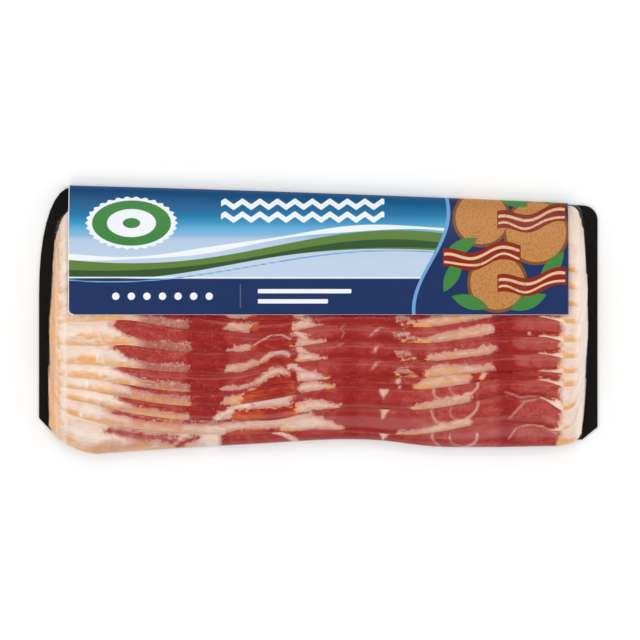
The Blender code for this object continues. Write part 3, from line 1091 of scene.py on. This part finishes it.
    def arch(self, m: SliceMap) -> None:
        """The fat arch and the dark core under it, orange at its sides and foot.

        Args:
            m: The slice's map.
        """
        n, x = m.n, m.x
        if self.arch_high[n]:
            depth = m.band(self.arch_places, self.arch_low[n], self.arch_high[n])
            m.paint(Tissue.FAT, depth + 0.3)
            m.fuzz(depth + 0.6, 0.26)
        if n == 6:
            line = ((-33.0, 3.4), (-28.5, 6.6), (-23.5, 8.2), (-19.0, 7.9), (-14.0, 5.4))
            m.tint(Share.VEIN_AND_GLINT, m.stroke(line, 0.9), 0.7, 0.6)
        spread = self.core_spread[n]
        places = (-35.0 - spread, -28.5, -23.0, -18.0, -12.2 + 0.2 * spread)
        core = m.band(places, (-3.0,) * 5, self.core_high[n])
        m.paint(Tissue.LEAN, core)
        m.tint(Share.SMOKE, core, 1.1, 1.2)
        m.shade(core, 0.6)
        sides = np.maximum(smoothstep(-x, 24.0, 36.0), 0.8 * smoothstep(x, -20.0, -13.0))
        low_part = 1 - 0.45 * smoothstep(m.e, 2.5, 6.5)
        m.tint(Share.CREAM, core, self.core_ember[n] * (0.4 + 0.6 * sides) * low_part, 1.2)
        if n in (2, 3):
            m.tint(Share.SMOKE, m.spot((-40.0, 1.6), (9.0, 2.4)), 0.8, 1.6)
        if n == 2:
            m.paint(Tissue.LEAN, m.stroke(((-13.2, 8.2), (-8.5, 7.4)), 2.0))

    def wing(self, m: SliceMap) -> None:
        """The cream wing right of the arch and the strand that leads down to it.

        Args:
            m: The slice's map.
        """
        n = m.n
        tip, tall, start = self.wing_tip[n], self.wing_height[n], self.wing_start[n]
        places = tuple(start + (tip - start) * part for part in (0.0, 0.25, 0.55, 0.8, 1.0))
        body = m.band(places, (0.8, 0.2, 0.1, 0.3, 0.6), (tall * 0.9, tall, tall * 0.85, tall * 0.5, 1.5))
        m.paint(Tissue.FAT, body + 0.3)
        m.fuzz(body + 0.6, 0.15)
        m.tint(Share.CREAM, body, 0.45, 2.0)
        m.tint(Share.SMOKE, m.spot((start + 2.0, 1.6), (3.0, 2.0)), 0.5, 1.6)
        if n >= 4:
            lift = 8.6 if n == 4 else 10.5
            m.paint(Tissue.FAT, m.stroke(((-14.8, lift), (-10.0, 6.8), (-5.6, 4.0)), 2.4) + 0.1)
        if n in (4, 5, 6):
            m.paint(Tissue.LEAN, m.spot((-12.6, 3.6), (2.0, 2.6)))
            m.tint(Share.SMOKE, m.spot((-12.6, 3.6), (2.6, 3.2)), 0.7, 1.5)

    def right_part(self, m: SliceMap) -> None:
        """The lean middle with its dark band, smoked foot and patches.

        Args:
            m: The slice's map.
        """
        n, e = m.n, m.e
        m.shade(m.span(13.0, 20.0) + 1.5 * m.rough(3.0, 47, 9.0 * n), 0.8, 2.5)
        m.shade(m.span(22.0, 52.0), -0.1, 3.0)
        m.shade(m.span(-10.0, 52.0), 0.15, 3.0)
        self.flecks(m)
        if n >= 4:
            self.clump(m)
        m.shade(both(m.span(30.0, 42.0), 7.0 - e), 0.45 if n >= 5 else 0.15)
        foot = both((2.0 if n < 3 else 3.0) - e, m.span(2.0, 58.0))
        m.tint(Share.SMOKE, foot, 0.75 if n < 3 else 1.0, 2.2)
        m.tint(Share.CREAM, np.minimum(foot, 0.9 - e), 0.4, 1.6)
        m.shade(both(e - 3.4, m.span(-8.0, 60.0)), -0.3 if n < 3 else -0.5, 1.5)
        m.shade(3.0 - e, 0.3 if n < 3 else 0.6, 1.5)
        if n >= 4:
            patches = 1.6 * m.rough(6.0, 71, 9.0 * n) + 0.8 * m.rough(2.5, 72, 9.0 * n) - 0.2
            m.tint(Share.SMOKE, both(patches, -m.fields["fat"], m.span(8.0, 56.0)), 0.8, 1.6)
            m.shade(m.span(8.0, 56.0), 0.25, 3.0)
        if n in (1, 2):
            m.shade(m.span(8.0, 34.0), 0.5, 4.0)

    def flecks(self, m: SliceMap) -> None:
        """Small pale marks in the lean middle: slanting flecks, triangles, dots and curls.

        Args:
            m: The slice's map.
        """
        n, x, down = m.n, m.x, m.strip - m.e
        if n in (4, 5, 6):
            fleck = np.minimum(0.9 - np.abs((x - 29.5) - 0.9 * (2.8 - down)), 2.5 - np.abs(2.8 - down))
            m.tint(Share.VEIN_AND_GLINT, fleck + 0.8 * m.rough(1.7, 44, 4.0 * n), 0.55, 1.5)
        if n in (0, 1, 2):
            part = down / self.triangle_height[n]
            middle = 34.4 - 1.3 * part + 0.5 * ripple(down, x, 1.9, 45 + n)
            m.tint(Share.VEIN_AND_GLINT, np.minimum(2.9 * (1 - part) - np.abs(x - middle), down + 1.0), 0.85, 1.0)
        if n == 3:
            m.tint(Share.VEIN_AND_GLINT, m.spot((41.0, 4.4), (1.4, 1.5)), 0.9)
            m.tint(Share.VEIN_AND_GLINT, m.spot((42.2, 1.4), (0.9, 1.1)), 0.8)
            m.tint(Share.SMOKE, m.spot((31.0, 3.0), (8.5, 4.5)), 1.1, 2.0)
            m.tint(Share.CREAM, m.spot((31.0, 2.6), (7.5, 3.4)), 0.3, 2.0)
        if n in (5, 6):
            m.tint(Share.VEIN_AND_GLINT, m.stroke(self.curls[n - 5], 0.7), 0.4)

    def clump(self, m: SliceMap) -> None:
        """A frayed clump of fat left of the bar, on the upper slices.

        Args:
            m: The slice's map.
        """
        low = self.clump_low[m.n - 4]
        body = m.band((40.5, 43.0, 47.0, 50.5), (low + 2.0, low, low, low - 0.2),
                      (low + 4.5, low + 5.0, low + 3.6, low + 0.8))
        m.paint(Tissue.FAT, body * 0.8)
        m.fuzz(body, self.clump_fuzz[m.n - 4])
        m.paint(Tissue.LEAN, m.spot((44.0, low + 1.4), (2.6, 0.9)))
        m.tint(Share.SMOKE, m.spot((43.0, low + 0.6), (4.0, 1.6)), 0.6, 1.6)

    def bar_part(self, m: SliceMap) -> None:
        """The cream bars at the lower edges and the thin loops that hang above them.

        Args:
            m: The slice's map.
        """
        n = m.n
        m.shade(m.span(54.0, 92.0), -0.3 if n > 2 else -0.5, 3.0)
        if n > 0:
            places, lows, highs = self.bars[n]
            bar = m.band(places, lows, highs)
            m.paint(Tissue.FAT, bar + 0.35)
            m.tint(Share.CREAM, bar + 0.6, 0.95, 1.6)
            m.fuzz(bar + 0.4, 0.18)
            middle = (places[1] + places[2]) / 2
            m.tint(Share.SMOKE, m.spot((middle, highs[1] * 0.4), (9.0, highs[1] * 0.45)), 0.4, 2.0)
            if n <= 3:
                rim = both(m.span(places[-1], 87.0), 3.0 - m.e)
                m.tint(Share.SMOKE, rim, 0.9, 1.2)
                m.tint(Share.CREAM, rim, 0.35, 1.2)
        if n == 3:
            m.paint(Tissue.FAT, m.band((83.0, 84.5, 86.6), (0.4, 0.4, 3.2), (3.8, 4.6, 4.8)))
        if n < 3:
            self.loops(m, *self.loop_span[n])

    def loops(self, m: SliceMap, high: float, low: float) -> None:
        """Thin pale arcs of one loop.

        Args:
            m: The slice's map.
            high: Height where the loop comes from under the slice above.
            low: Height of the bar that it reaches.
        """
        drop = high - low
        left = ((58.6, 1.0), (59.2, 0.6), (60.4, 0.3), (63.4, 0.0))
        right = ((82.0, 1.0), (81.8, 0.6), (79.6, 0.28), (75.0, 0.05), (70.0, -0.3 / drop))
        inner = ((68.0, 1.0), (67.9, 0.6), (69.4, 0.3), (73.0, 0.14))
        for line, width, strength in ((left, 1.3, 0.6), (right, 1.6, 0.7), (inner, 1.0, 0.45)):
            points = [(place, low + part * drop) for place, part in line]
            m.tint(Share.VEIN_AND_GLINT, m.stroke(points, width), strength, 0.9)

    def chunks(self, m: SliceMap) -> None:
        """The dark seam, the lean chunks with smoked edges and the small pale wedges between them, which
        carry a painted highlight.

        Args:
            m: The slice's map.
        """
        n, x, e = m.n, m.x, m.e
        m.shade(both(x - (89.5 if n > 2 else 94.0), 99.5 - x + 0.3 * e), 1.1, 3.0)
        tall = self.chunk_low[n]
        low = tall + 1.6 * ((x - 112.0) / 12.0) ** 2 - 0.8
        side = x - 100.0 + 0.35 * np.minimum(e - tall, 5.0) - 1.6 * m.upright(3.4, 31 + n)
        face = both(side, 124.6 - x, e - low)
        m.shade(face, -0.9 if n > 2 else -0.6, 1.6)
        rim = np.minimum(1.5 - np.abs(face + 0.9), 125.0 - x)
        m.tint(Share.SMOKE, rim, 1.15, 1.5)
        m.tint(Share.SMOKE, both(low - 0.2 - e, 3.0 - e, x - 96.0), 1.3, 1.5)
        m.tint(Share.CREAM, np.minimum(rim, 1.4 - e), 0.45, 1.2)
        if n >= 1:
            wedge = m.band((113.5, 118.5, 122.0, 126.0), (-3.0,) * 4, self.wedges[min(n, 3) - 1])
            m.paint(Tissue.FAT, wedge + 0.2)
            # The wedges lose their smoke and take a painted highlight of half strength.
            clean = smoothstep(wedge, -0.4, 0.6)
            m.fields["smoke"] = m.fields["smoke"] * (1 - clean)
            m.fields["painted_highlight"] = np.maximum(m.fields["painted_highlight"], 0.5 * clean)
        if n < len(self.chunk_lines):
            points, strength = self.chunk_lines[n]
            m.tint(Share.VEIN_AND_GLINT, m.stroke(points, 1.0), strength)
        if n == 6:
            m.tint(Share.VEIN_AND_GLINT, m.spot((108.3, 1.6), (0.9, 1.1)), 0.7, 0.7)

    def ends(self, m: SliceMap) -> None:
        """The smoked rind at the left end, and the plain fat right end with its short marks; painted
        highlights whiten both end walls, and a painted glint runs along the film's edge at the left foot.

        Args:
            m: The slice's map.
        """
        k, x, e = m.k, m.x, m.e
        lobe = 1.6 * smoothstep(-e, -6.0, 0.5)
        m.paint(Tissue.FAT, x - 124.4 + lobe + 1.1 * m.upright(3.0, 60 + k))
        m.tint(Share.SMOKE, -132.6 - x + 0.5 * m.upright(5.0, 80 + k), 1.05, 1.8)
        # Painted glint: a thin pale line along the film's edge at the foot of the left end wall.
        m.tint(Share.VEIN_AND_GLINT, -138.5 - x, 0.8)
        m.tint(Share.SMOKE, 0.9 - np.abs(x + 136.8), 0.8, 1.0)
        mark = m.stroke(((124.6, 2.6), (128.4, 1.5), (132.4, 0.2)), 5.4)
        m.tint(Share.SMOKE, mark + 0.7 * m.rough(2.4, 46, 3.0 * k), 1.0, 4.4)
        # Painted highlights: the right end wall whitened where film gloss would show, and a light ridge and a
        # fainter line on the left end wall.
        m.tint(Share.PAINTED_HIGHLIGHT, x - 132.0 + 0.6 * m.upright(5.0, 90 + k), 0.75, 3.0)
        highlight_strength = 0.45 + 0.3 * m.upright(2.6, 95 + k)
        m.tint(Share.PAINTED_HIGHLIGHT, 1.6 - np.abs(x + 130.4 + 0.7 * m.upright(4.0, 97 + k)), highlight_strength, 2.0)
        m.tint(Share.PAINTED_HIGHLIGHT, 1.0 - np.abs(x + 134.6), 0.45, 1.4)


@dataclass(frozen=True)
class FilmFinish:
    """Clear thin plastic: what lies under it shows, with a gloss that grows at grazing angles."""

    roughness: float = 0.12
    straight: float = 0.022

    def material(self) -> bpy.types.Material:
        """A mix of transparent and glossy shaders, with fine creases as bump.

        Returns:
            The material.
        """
        tree = Tree("clear_film")
        creases = tree.noise(tree.place((0.5, 0.16, 0.3)), 1.0, 3.0)
        fine = tree.noise(tree.place(), 0.9, 2.0)
        folds = tree.noise(tree.place((0.3, 0.14, 0.3)), 1.0, 1.0) * (-104.0 - tree.axis(0)).step(0.0, 8.0)
        normal = tree.bump(creases * 0.8 + fine * 0.2 + folds * 4.0, 0.5, 0.5)
        clear = tree.node("ShaderNodeBsdfTransparent", None, {0: (0.99, 0.99, 0.99, 1.0)})
        gloss = tree.node("ShaderNodeBsdfGlossy", None,
                          {"Color": (1.0, 1.0, 1.0, 1.0), "Roughness": self.roughness, "Normal": normal})
        facing = tree.node("ShaderNodeLayerWeight", None, {"Blend": 0.5, "Normal": normal})
        grazing = Wire(tree, facing.outputs["Facing"])
        share = self.straight + (1.0 - self.straight) * grazing.power(5.0)
        mixed = tree.node("ShaderNodeMixShader", None, {0: share, 1: Wire(tree, clear.outputs[0]),
                                                        2: Wire(tree, gloss.outputs[0])})
        tree.links.new(mixed.outputs[0], tree.output.inputs[0])
        return tree.material


@dataclass(frozen=True)
class ClearFilm:
    """The film drawn tight over the slices: it bridges each step and stands on the board."""

    form: PackForm
    columns: int = 420
    foot_rows: tuple = (-1.5, -0.9, -0.5, -0.15, 0.2, 0.6, 1.1, 1.8)
    strip_rows: int = 5
    edge_rows: int = 14

    def surface(self) -> np.ndarray:
        """Points of the film's top, in rows from the lower edge to the upper one.

        Returns:
            Grid of points: the block's envelope less the fall of each strip, where the film climbs
            from strip to strip along an S-shaped curve a little ahead of the slice's own nose.
        """
        form = self.form
        share = np.linspace(0.0, 1.0, self.columns)
        share = share - 0.6 * np.sin(2 * np.pi * share) / (2 * np.pi)
        nominal = form.block_left + share * (form.block_right - form.block_left)
        rows = []
        for k in range(SLICES):
            foot = form.foot(k, nominal)
            strip = form.foot(k + 1, nominal) - foot
            first = self.foot_rows if k > 0 else (0.0, 0.15, 0.5, 1.0, 1.8)
            start, end = 1.8, np.where(k == SLICES - 1, strip - 2.0, strip - 1.5)
            count = self.strip_rows if 0 < k < SLICES - 1 else self.edge_rows
            inner = [start + (end - start) * (n + 1) / (count + 1) for n in range(count)]
            last = [strip - h for h in (2.0, 1.2, 0.6, 0.2, 0.0)] if k == SLICES - 1 else []
            for e in (*first, *inner, *last):
                rows.append(self.row(k, share, nominal, foot, strip, e))
        return np.array(rows)

    def row(self, k: int, share: np.ndarray, nominal: np.ndarray, foot: np.ndarray, strip: np.ndarray,
            e: Union[float, np.ndarray]) -> np.ndarray:
        """One row of film points.

        Args:
            k: Number of the slice, 0 at the bottom.
            share: Places along the film, from 0 at its left end to 1.
            nominal: The same places as X before the ends bow in.
            foot: The slice's lower edge there.
            strip: Width of its bare strip there.
            e: Height of the row above the lower edge.

        Returns:
            The row's points.
        """
        form = self.form
        e = np.broadcast_to(e, nominal.shape)
        y = form.placed(nominal, foot + e)
        left = form.left_end(y)
        x = left + share * (form.right_end(y) - left)
        climb = smoothstep(e, -1.2, 0.75) if k > 0 else np.ones_like(e)
        slope = np.clip((e - form.nose) / (strip - form.nose), 0.0, 1.0)
        fall = 0.0 if k == SLICES - 1 else 1.0
        drop = form.relief(x, y) * ((1 - climb) + fall * slope)
        z = form.rim + form.fullness(x, y, nominal) * (form.block_height - form.rim - drop)
        return np.stack([x, y, form.board + form.gap + z], axis=-1)

    def make(self) -> None:
        """Builds the film with its walls and flat underside, and dresses it."""
        made = object_from_grid("clear_film", self.surface())
        shape = bmesh.new()
        shape.from_mesh(made.data)
        border = [edge for edge in shape.edges if edge.is_boundary]
        walls = bmesh.ops.extrude_edge_only(shape, edges=border)
        for vert in [v for v in walls["geom"] if isinstance(v, bmesh.types.BMVert)]:
            vert.co.z = (self.form.board + 0.05) * MM
        border = [edge for edge in shape.edges if edge.is_boundary]
        bmesh.ops.edgeloop_fill(shape, edges=border)
        bmesh.ops.recalc_face_normals(shape, faces=shape.faces)
        for face in shape.faces:
            face.smooth = len(face.verts) == 4
        shape.to_mesh(made.data)
        shape.free()
        made.data.set_sharp_from_angle(angle=np.radians(50))
        dress(made, FilmFinish().material(), "sealed_bacon")


@dataclass(frozen=True)
class CardFinish:
    """Inks and card of the printed flap, and the black backing card."""

    navy: tuple = srgb(26, 47, 93)
    sky: tuple = srgb(104, 158, 206)
    white: tuple = srgb(232, 236, 240)
    green: tuple = srgb(92, 124, 58)
    forest: tuple = srgb(52, 82, 46)
    leaf: tuple = srgb(62, 128, 62)
    tan: tuple = srgb(190, 132, 74)
    crust: tuple = srgb(128, 76, 38)
    rust: tuple = srgb(134, 34, 24)
    cream: tuple = srgb(224, 184, 146)

    def printed(self) -> bpy.types.Material:
        """Glossy printed card: a graded ground, then each ink over it by its own field.

        Returns:
            The material.
        """
        tree = Tree("printed_card")
        across = tree.axis(1)
        ground = tree.ramp((across - 30.0) * (1 / 40.0), (
            (0.0, srgb(186, 203, 223)), (0.275, srgb(176, 197, 220)), (0.34, srgb(128, 176, 213)),
            (0.405, srgb(104, 170, 211)), (0.47, srgb(70, 150, 193)), (0.535, srgb(38, 130, 177)),
            (0.6, srgb(2, 110, 159)), (0.66, srgb(2, 99, 148)), (0.79, srgb(2, 78, 126)),
            (0.9, srgb(10, 66, 114)), (1.0, srgb(20, 66, 110))))
        base = ground
        for name, colour in (("pale", self.white), ("green", self.green), ("forest", self.forest),
                             ("navy", self.navy), ("white", self.white), ("sky", self.sky),
                             ("crust", self.crust), ("tan", self.tan), ("leaf", self.leaf),
                             ("rust", self.rust), ("cream", self.cream), ("line", self.white)):
            base = tree.mix(tree.attribute(f"ink_{name}").step(-0.14, 0.14), base, colour)
        mottle = tree.noise(tree.place(), 1.2, 3.0)
        toasted = tree.attribute("ink_crust").step(0.0, 0.6) * (mottle - 0.5).step(-0.02, 0.16) * 0.5
        base = tree.mix(toasted, base, self.crust)
        dents = tree.noise(tree.place(), 0.05, 2.0)
        tree.principled(Base_Color=base, Roughness=0.3 + mottle * 0.08, Normal=tree.bump(dents, 0.4, 1.2),
                        Specular_IOR_Level=0.2)
        return tree.material

    def cut_edge(self) -> bpy.types.Material:
        """White card at the cut edges and on the flap's underside.

        Returns:
            The material.
        """
        tree = Tree("cut_card")
        fibre = tree.noise(tree.place((1.0, 1.0, 4.0)), 2.0, 4.0)
        base = tree.mix(fibre, srgb(246, 246, 244), srgb(226, 226, 222))
        tree.principled(Base_Color=base, Roughness=0.8, Normal=tree.bump(fibre, 0.3, 0.1))
        return tree.material

    def backing(self) -> bpy.types.Material:
        """Black coated card with faint fibres and rubbed patches.

        Returns:
            The material.
        """
        tree = Tree("black_card")
        fibre = tree.noise(tree.place((0.3, 2.0, 1.0)), 1.0, 4.0)
        rubbed = tree.noise(tree.place(), 0.06, 3.0)
        base = tree.mix(rubbed.step(0.45, 0.8) * 0.35, srgb(9, 5, 3), srgb(20, 15, 12))
        tree.principled(Base_Color=base, Roughness=0.55 + rubbed * 0.15, Normal=tree.bump(fibre, 0.25, 0.08),
                        Specular_IOR_Level=0.15)
        return tree.material


@dataclass(frozen=True)
class PrintedFlap:
    """The card over the upper half: one sheet that folds down over the top edge, with its print."""

    form: PackForm
    half: float = 128.5
    bottom: float = 2.5
    thickness: float = 0.45
    corner: float = 2.8
    clearance: float = 0.5
    drop_start: float = 30.0
    end_height: float = 4.0
    columns: int = 380
    level_rows: int = 52
    fall_rows: int = 64
    end_rows: tuple = (0.75, 0.5, 0.25, 0.0)

    def surface(self) -> tuple:
        """The underside of the card.

        Returns:
            The grid of points, and for each point its distance from the card's lower edge: level over
            the slices, a quarter superellipse down to the fold, then straight down.
        """
        form = self.form
        level = form.board + form.gap + form.block_height + self.clearance
        share = np.linspace(0.0, 1.0, self.columns)
        rows = []
        steps = (self.drop_start - self.bottom) * np.linspace(0.0, 1.0, self.level_rows) ** 1.5
        for step in steps:
            inset = self.corner - np.sqrt(self.corner**2 - max(self.corner - step, 0.0) ** 2)
            x = -self.half + inset + share * (2 * self.half - inset)
            rows.append(np.stack([x, np.full_like(x, self.bottom + step), np.full_like(x, level)], axis=-1))
        x = -self.half + share * 2 * self.half
        end = form.fold_line(x) - self.thickness
        for angle in np.linspace(0.0, np.pi / 2, self.fall_rows + 1)[1:]:
            along = np.sin(angle) ** (2 / form.slope_power)
            left = np.cos(angle) ** (2 / form.slope_power)
            y = self.drop_start + (end - self.drop_start) * along
            z = np.full_like(x, self.end_height + (level - self.end_height) * left)
            rows.append(np.stack([x, y, z], axis=-1))
        for height in self.end_rows:
            rows.append(np.stack([x, end, np.full_like(x, height * self.end_height)], axis=-1))
        return np.array(rows)

    def make(self) -> None:
        """Builds the card, prints it and dresses it."""
        points = self.surface()
        inks = PrintDesign().inks(points[..., 0], points[..., 1])
        fields = {f"ink_{name}": depth for name, depth in inks.items()}
        made = object_from_grid("printed_flap_card", points, fields)
        finish = CardFinish()
        dress(made, finish.printed(), "printed_flap")
        made.data.materials.append(finish.cut_edge())
        wall = made.modifiers.new("card", "SOLIDIFY")
        wall.thickness = self.thickness * MM
        wall.offset = 1.0
        wall.use_even_offset = True
        wall.material_offset_rim = 1
        wall.material_offset = 0


@dataclass(frozen=True)
class PrintDesign:
    """A plain design of our own: a navy band, ribbons, a round seal and a panel of food colours."""

    band_top: float = 21.0
    line: float = 21.7
    panel_left: float = 58.0

    def inks(self, x: np.ndarray, y: np.ndarray) -> dict:
        """The field of each ink, positive where it prints.

        Args:
            x: X of the card's points.
            y: Y of the card's points.

        Returns:
            Arrays of signed depth in millimetres, by the ink's name.
        """
        panel = x - self.panel_left - 9.0 * np.sin((y - 30.0) / 16.0)
        left = -panel
        ribbon = y - 33.0 - 8.0 * np.sin((x + 34.0) / 46.0)
        inks = {"sky": np.where(np.abs(panel) < 6.0, 0.9 - np.abs(panel), -1.0)}
        inks["pale"] = np.minimum(1.1 + 0.5 * np.sin(x / 12.0) - np.abs(ribbon - 6.4), left)
        inks["green"] = np.minimum(3.6 + 1.2 * np.sin(x / 29.0) - np.abs(ribbon), left)
        inks["forest"] = np.minimum(1.5 + 0.6 * np.sin(x / 21.0) - np.abs(ribbon + 1.9), left)
        inks["navy"] = np.maximum(self.band_top - y, panel)
        seal, ring = self.seal(x, y)
        inks["sky"] = np.maximum(inks["sky"], np.minimum(0.35 - np.abs(ribbon + 5.6), left))
        inks["white"] = np.maximum(seal, np.minimum(0.35 - np.abs(y - self.line), left))
        inks.update(self.panel_inks(x, y, panel - 2.4))
        inks["leaf"] = np.maximum(inks["leaf"], ring)
        inks["line"] = np.maximum(self.ornaments(x, y), self.card_edge(x, y))
        return inks

    @staticmethod
    def seal(x: np.ndarray, y: np.ndarray) -> tuple:
        """A wide scalloped white seal with green rings.

        Args:
            x: X of the points.
            y: Y of the points.

        Returns:
            The fields of its white ground and of its green rings.
        """
        across, up = (x + 96.0) / 1.75, y - 49.5
        far = np.hypot(across, up)
        turn = np.arctan2(up, across)
        ground = 13.2 + 0.45 * np.cos(30.0 * turn) - far
        rings = np.maximum(2.2 - np.abs(far - 9.4), 2.6 - far)
        return ground, rings

    @staticmethod
    def panel_inks(x: np.ndarray, y: np.ndarray, inside: np.ndarray) -> dict:
        """Overlapping discs, leaves and wavy rashers on the panel at the right end.

        Args:
            x: X of the points.
            y: Y of the points.
            inside: Depth inside the panel.

        Returns:
            The fields of crust, tan, leaf, rust and cream.
        """
        discs = np.full(x.shape, -9.0)
        for centre_x, centre_y, reach in ((84.0, 52.0, 15.0), (112.0, 45.0, 17.0), (92.0, 19.0, 15.5)):
            discs = np.maximum(discs, reach - np.hypot(x - centre_x, y - centre_y))
        leaves = np.full(x.shape, -9.0)
        for centre_x, centre_y, turn in ((73.0, 37.0, 0.5), (99.0, 62.0, -0.4), (120.0, 27.0, 0.9),
                                         (78.0, 9.0, -0.3), (108.0, 9.0, 0.4), (69.0, 23.0, 1.1),
                                         (124.0, 61.0, 0.8)):
            along = (x - centre_x) * np.cos(turn) + (y - centre_y) * np.sin(turn)
            off = (y - centre_y) * np.cos(turn) - (x - centre_x) * np.sin(turn)
            leaves = np.maximum(leaves, 3.6 * (1 - (along / 10.0) ** 2) - np.abs(off))
        rashers = np.full(x.shape, -9.0)
        fat = np.full(x.shape, -9.0)
        for low, first, last in ((33.0, 64.0, 104.0), (16.5, 92.0, 127.5), (49.0, 92.0, 127.5)):
            off = y - low - 0.12 * (x - 90.0) - 2.0 * np.sin(x / 4.6)
            shape = np.minimum(4.6 - np.abs(off), np.minimum(x - first, last - x))
            rashers = np.maximum(rashers, shape)
            streak = np.maximum(0.75 - np.abs(off - 1.6), 0.6 - np.abs(off + 2.2 - 0.5 * np.sin(x / 2.9)))
            fat = np.maximum(fat, np.minimum(streak, shape - 0.6))
        inks = {"crust": discs, "tan": discs - 1.6, "leaf": leaves, "rust": rashers, "cream": fat}
        return {name: np.minimum(depth, inside) for name, depth in inks.items()}

    @staticmethod
    def ornaments(x: np.ndarray, y: np.ndarray) -> np.ndarray:
        """Plain ornaments in white: chevrons on the sky, a divider, dots and bars on the band.

        Args:
            x: X of the points.
            y: Y of the points.

        Returns:
            Their field.
        """
        zigzag = np.abs((x + 300.0) % 9.0 - 4.5)
        chevrons = np.maximum(1.5 - np.abs(y - 57.6 - zigzag * 0.7), 1.5 - np.abs(y - 51.0 - zigzag * 0.7))
        chevrons = np.minimum(chevrons, 42.0 - np.abs(x + 8.0))
        divider = np.minimum(0.25 - np.abs(x + 40.0), 6.2 - np.abs(y - 12.0))
        dots = 1.9 - np.hypot((x + 92.0) % 8.0 - 4.0, y - 12.0)
        dots = np.minimum(dots, 28.0 - np.abs(x + 80.0))
        bars = [np.minimum(1.1 - np.abs(y - at), reach - np.abs(x - middle))
                for at, middle, reach in ((14.6, -7.0, 24.0), (9.4, -13.0, 18.0))]
        return np.maximum.reduce([chevrons, divider, dots, *bars])

    @staticmethod
    def card_edge(x: np.ndarray, y: np.ndarray) -> np.ndarray:
        """The thin unprinted edge of white card at the left end, the corner and the lower edge.

        Args:
            x: X of the points.
            y: Y of the points.

        Returns:
            Its field.
        """
        edge = np.maximum(0.4 - (x + 128.5), 0.1 - (y - 2.5))
        corner = np.hypot(np.minimum(x + 125.7, 0.0), np.minimum(y - 5.3, 0.0)) - 2.4
        return np.maximum(edge, np.where((x < -125.7) & (y < 5.3), corner, -9.0))


@dataclass(frozen=True)
class Studio:
    """The pale floor, the soft lights and the camera straight above."""

    field: float = 330.05
    lens: float = 500.0
    sensor: float = 36.0
    centre: tuple = (0.9, -0.2)
    lamps: tuple = (("back", (0.0, 1.15), 11.2), ("left", (-1.15, 0.0), 11.2),
                    ("right", (1.15, 0.0), 10.4), ("front", (0.0, -1.15), 10.8))
    lamp_height: float = 0.96
    lamp_size: tuple = (2.2, 0.8)
    world_strength: float = 0.2
    floor_half: float = 3000.0

    def floor(self) -> None:
        """A wide pale floor just under the pack."""
        line = np.linspace(-self.floor_half, self.floor_half, 9)
        grid = np.stack(np.meshgrid(line, line), axis=-1)
        points = np.concatenate([grid, np.full((*grid.shape[:2], 1), -0.05)], axis=-1)
        made = object_from_grid("floor", points)
        tree = Tree("floor_paint")
        mottle = tree.noise(tree.place(), 0.02, 2.0)
        tree.principled(Base_Color=tree.mix(mottle, srgb(244, 244, 244), srgb(248, 248, 248)), Roughness=0.9,
                        Specular_IOR_Level=0.1)
        made.data.materials.append(tree.material)

    @staticmethod
    def light(name: str, place: tuple, size: tuple, power: float) -> None:
        """An area light that looks at the pack's middle.

        Args:
            name: Its name.
            place: Where it stands, in metres.
            size: Its width and height in metres.
            power: Its power in watts.
        """
        data = bpy.data.lights.new(name, "AREA")
        data.shape = "RECTANGLE"
        data.size, data.size_y = size
        data.energy = power
        made = bpy.data.objects.new(name, data)
        bpy.context.scene.collection.objects.link(made)
        made.location = place
        made.rotation_euler = (-made.location).to_track_quat("-Z", "Y").to_euler()

    def make(self) -> None:
        """Sets the floor, the lights, the world, the camera and the view transform."""
        self.floor()
        for name, (x, y), power in self.lamps:
            size = self.lamp_size if y else self.lamp_size[::-1]
            self.light(name, (x, y, self.lamp_height), size, power)
        world = bpy.data.worlds.new("studio")
        world.use_nodes = True
        background = world.node_tree.nodes["Background"]
        background.inputs[0].default_value = (1.0, 1.0, 1.0, 1.0)
        background.inputs[1].default_value = self.world_strength
        scene = bpy.context.scene
        scene.world = world
        data = bpy.data.cameras.new("camera")
        data.lens = self.lens
        data.sensor_width = self.sensor
        data.clip_end = 50.0
        camera = bpy.data.objects.new("camera", data)
        scene.collection.objects.link(camera)
        height = self.field * self.lens / self.sensor
        camera.location = (self.centre[0] * MM, self.centre[1] * MM, height * MM)
        scene.camera = camera
        scene.view_settings.view_transform = "Standard"


def main() -> None:
    """Builds the looks in order."""
    logging.basicConfig(level=logging.INFO)
    Studio().make()
    BaconSlices(FORM).make()
    ClearFilm(FORM).make()
    PrintedFlap(FORM).make()
    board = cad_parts["backing_board"]
    board.data.materials.clear()
    board.data.materials.append(CardFinish().backing())
    log.info("%s: %d faces", board.name, len(board.data.polygons))


if __name__ == "__main__":
    main()
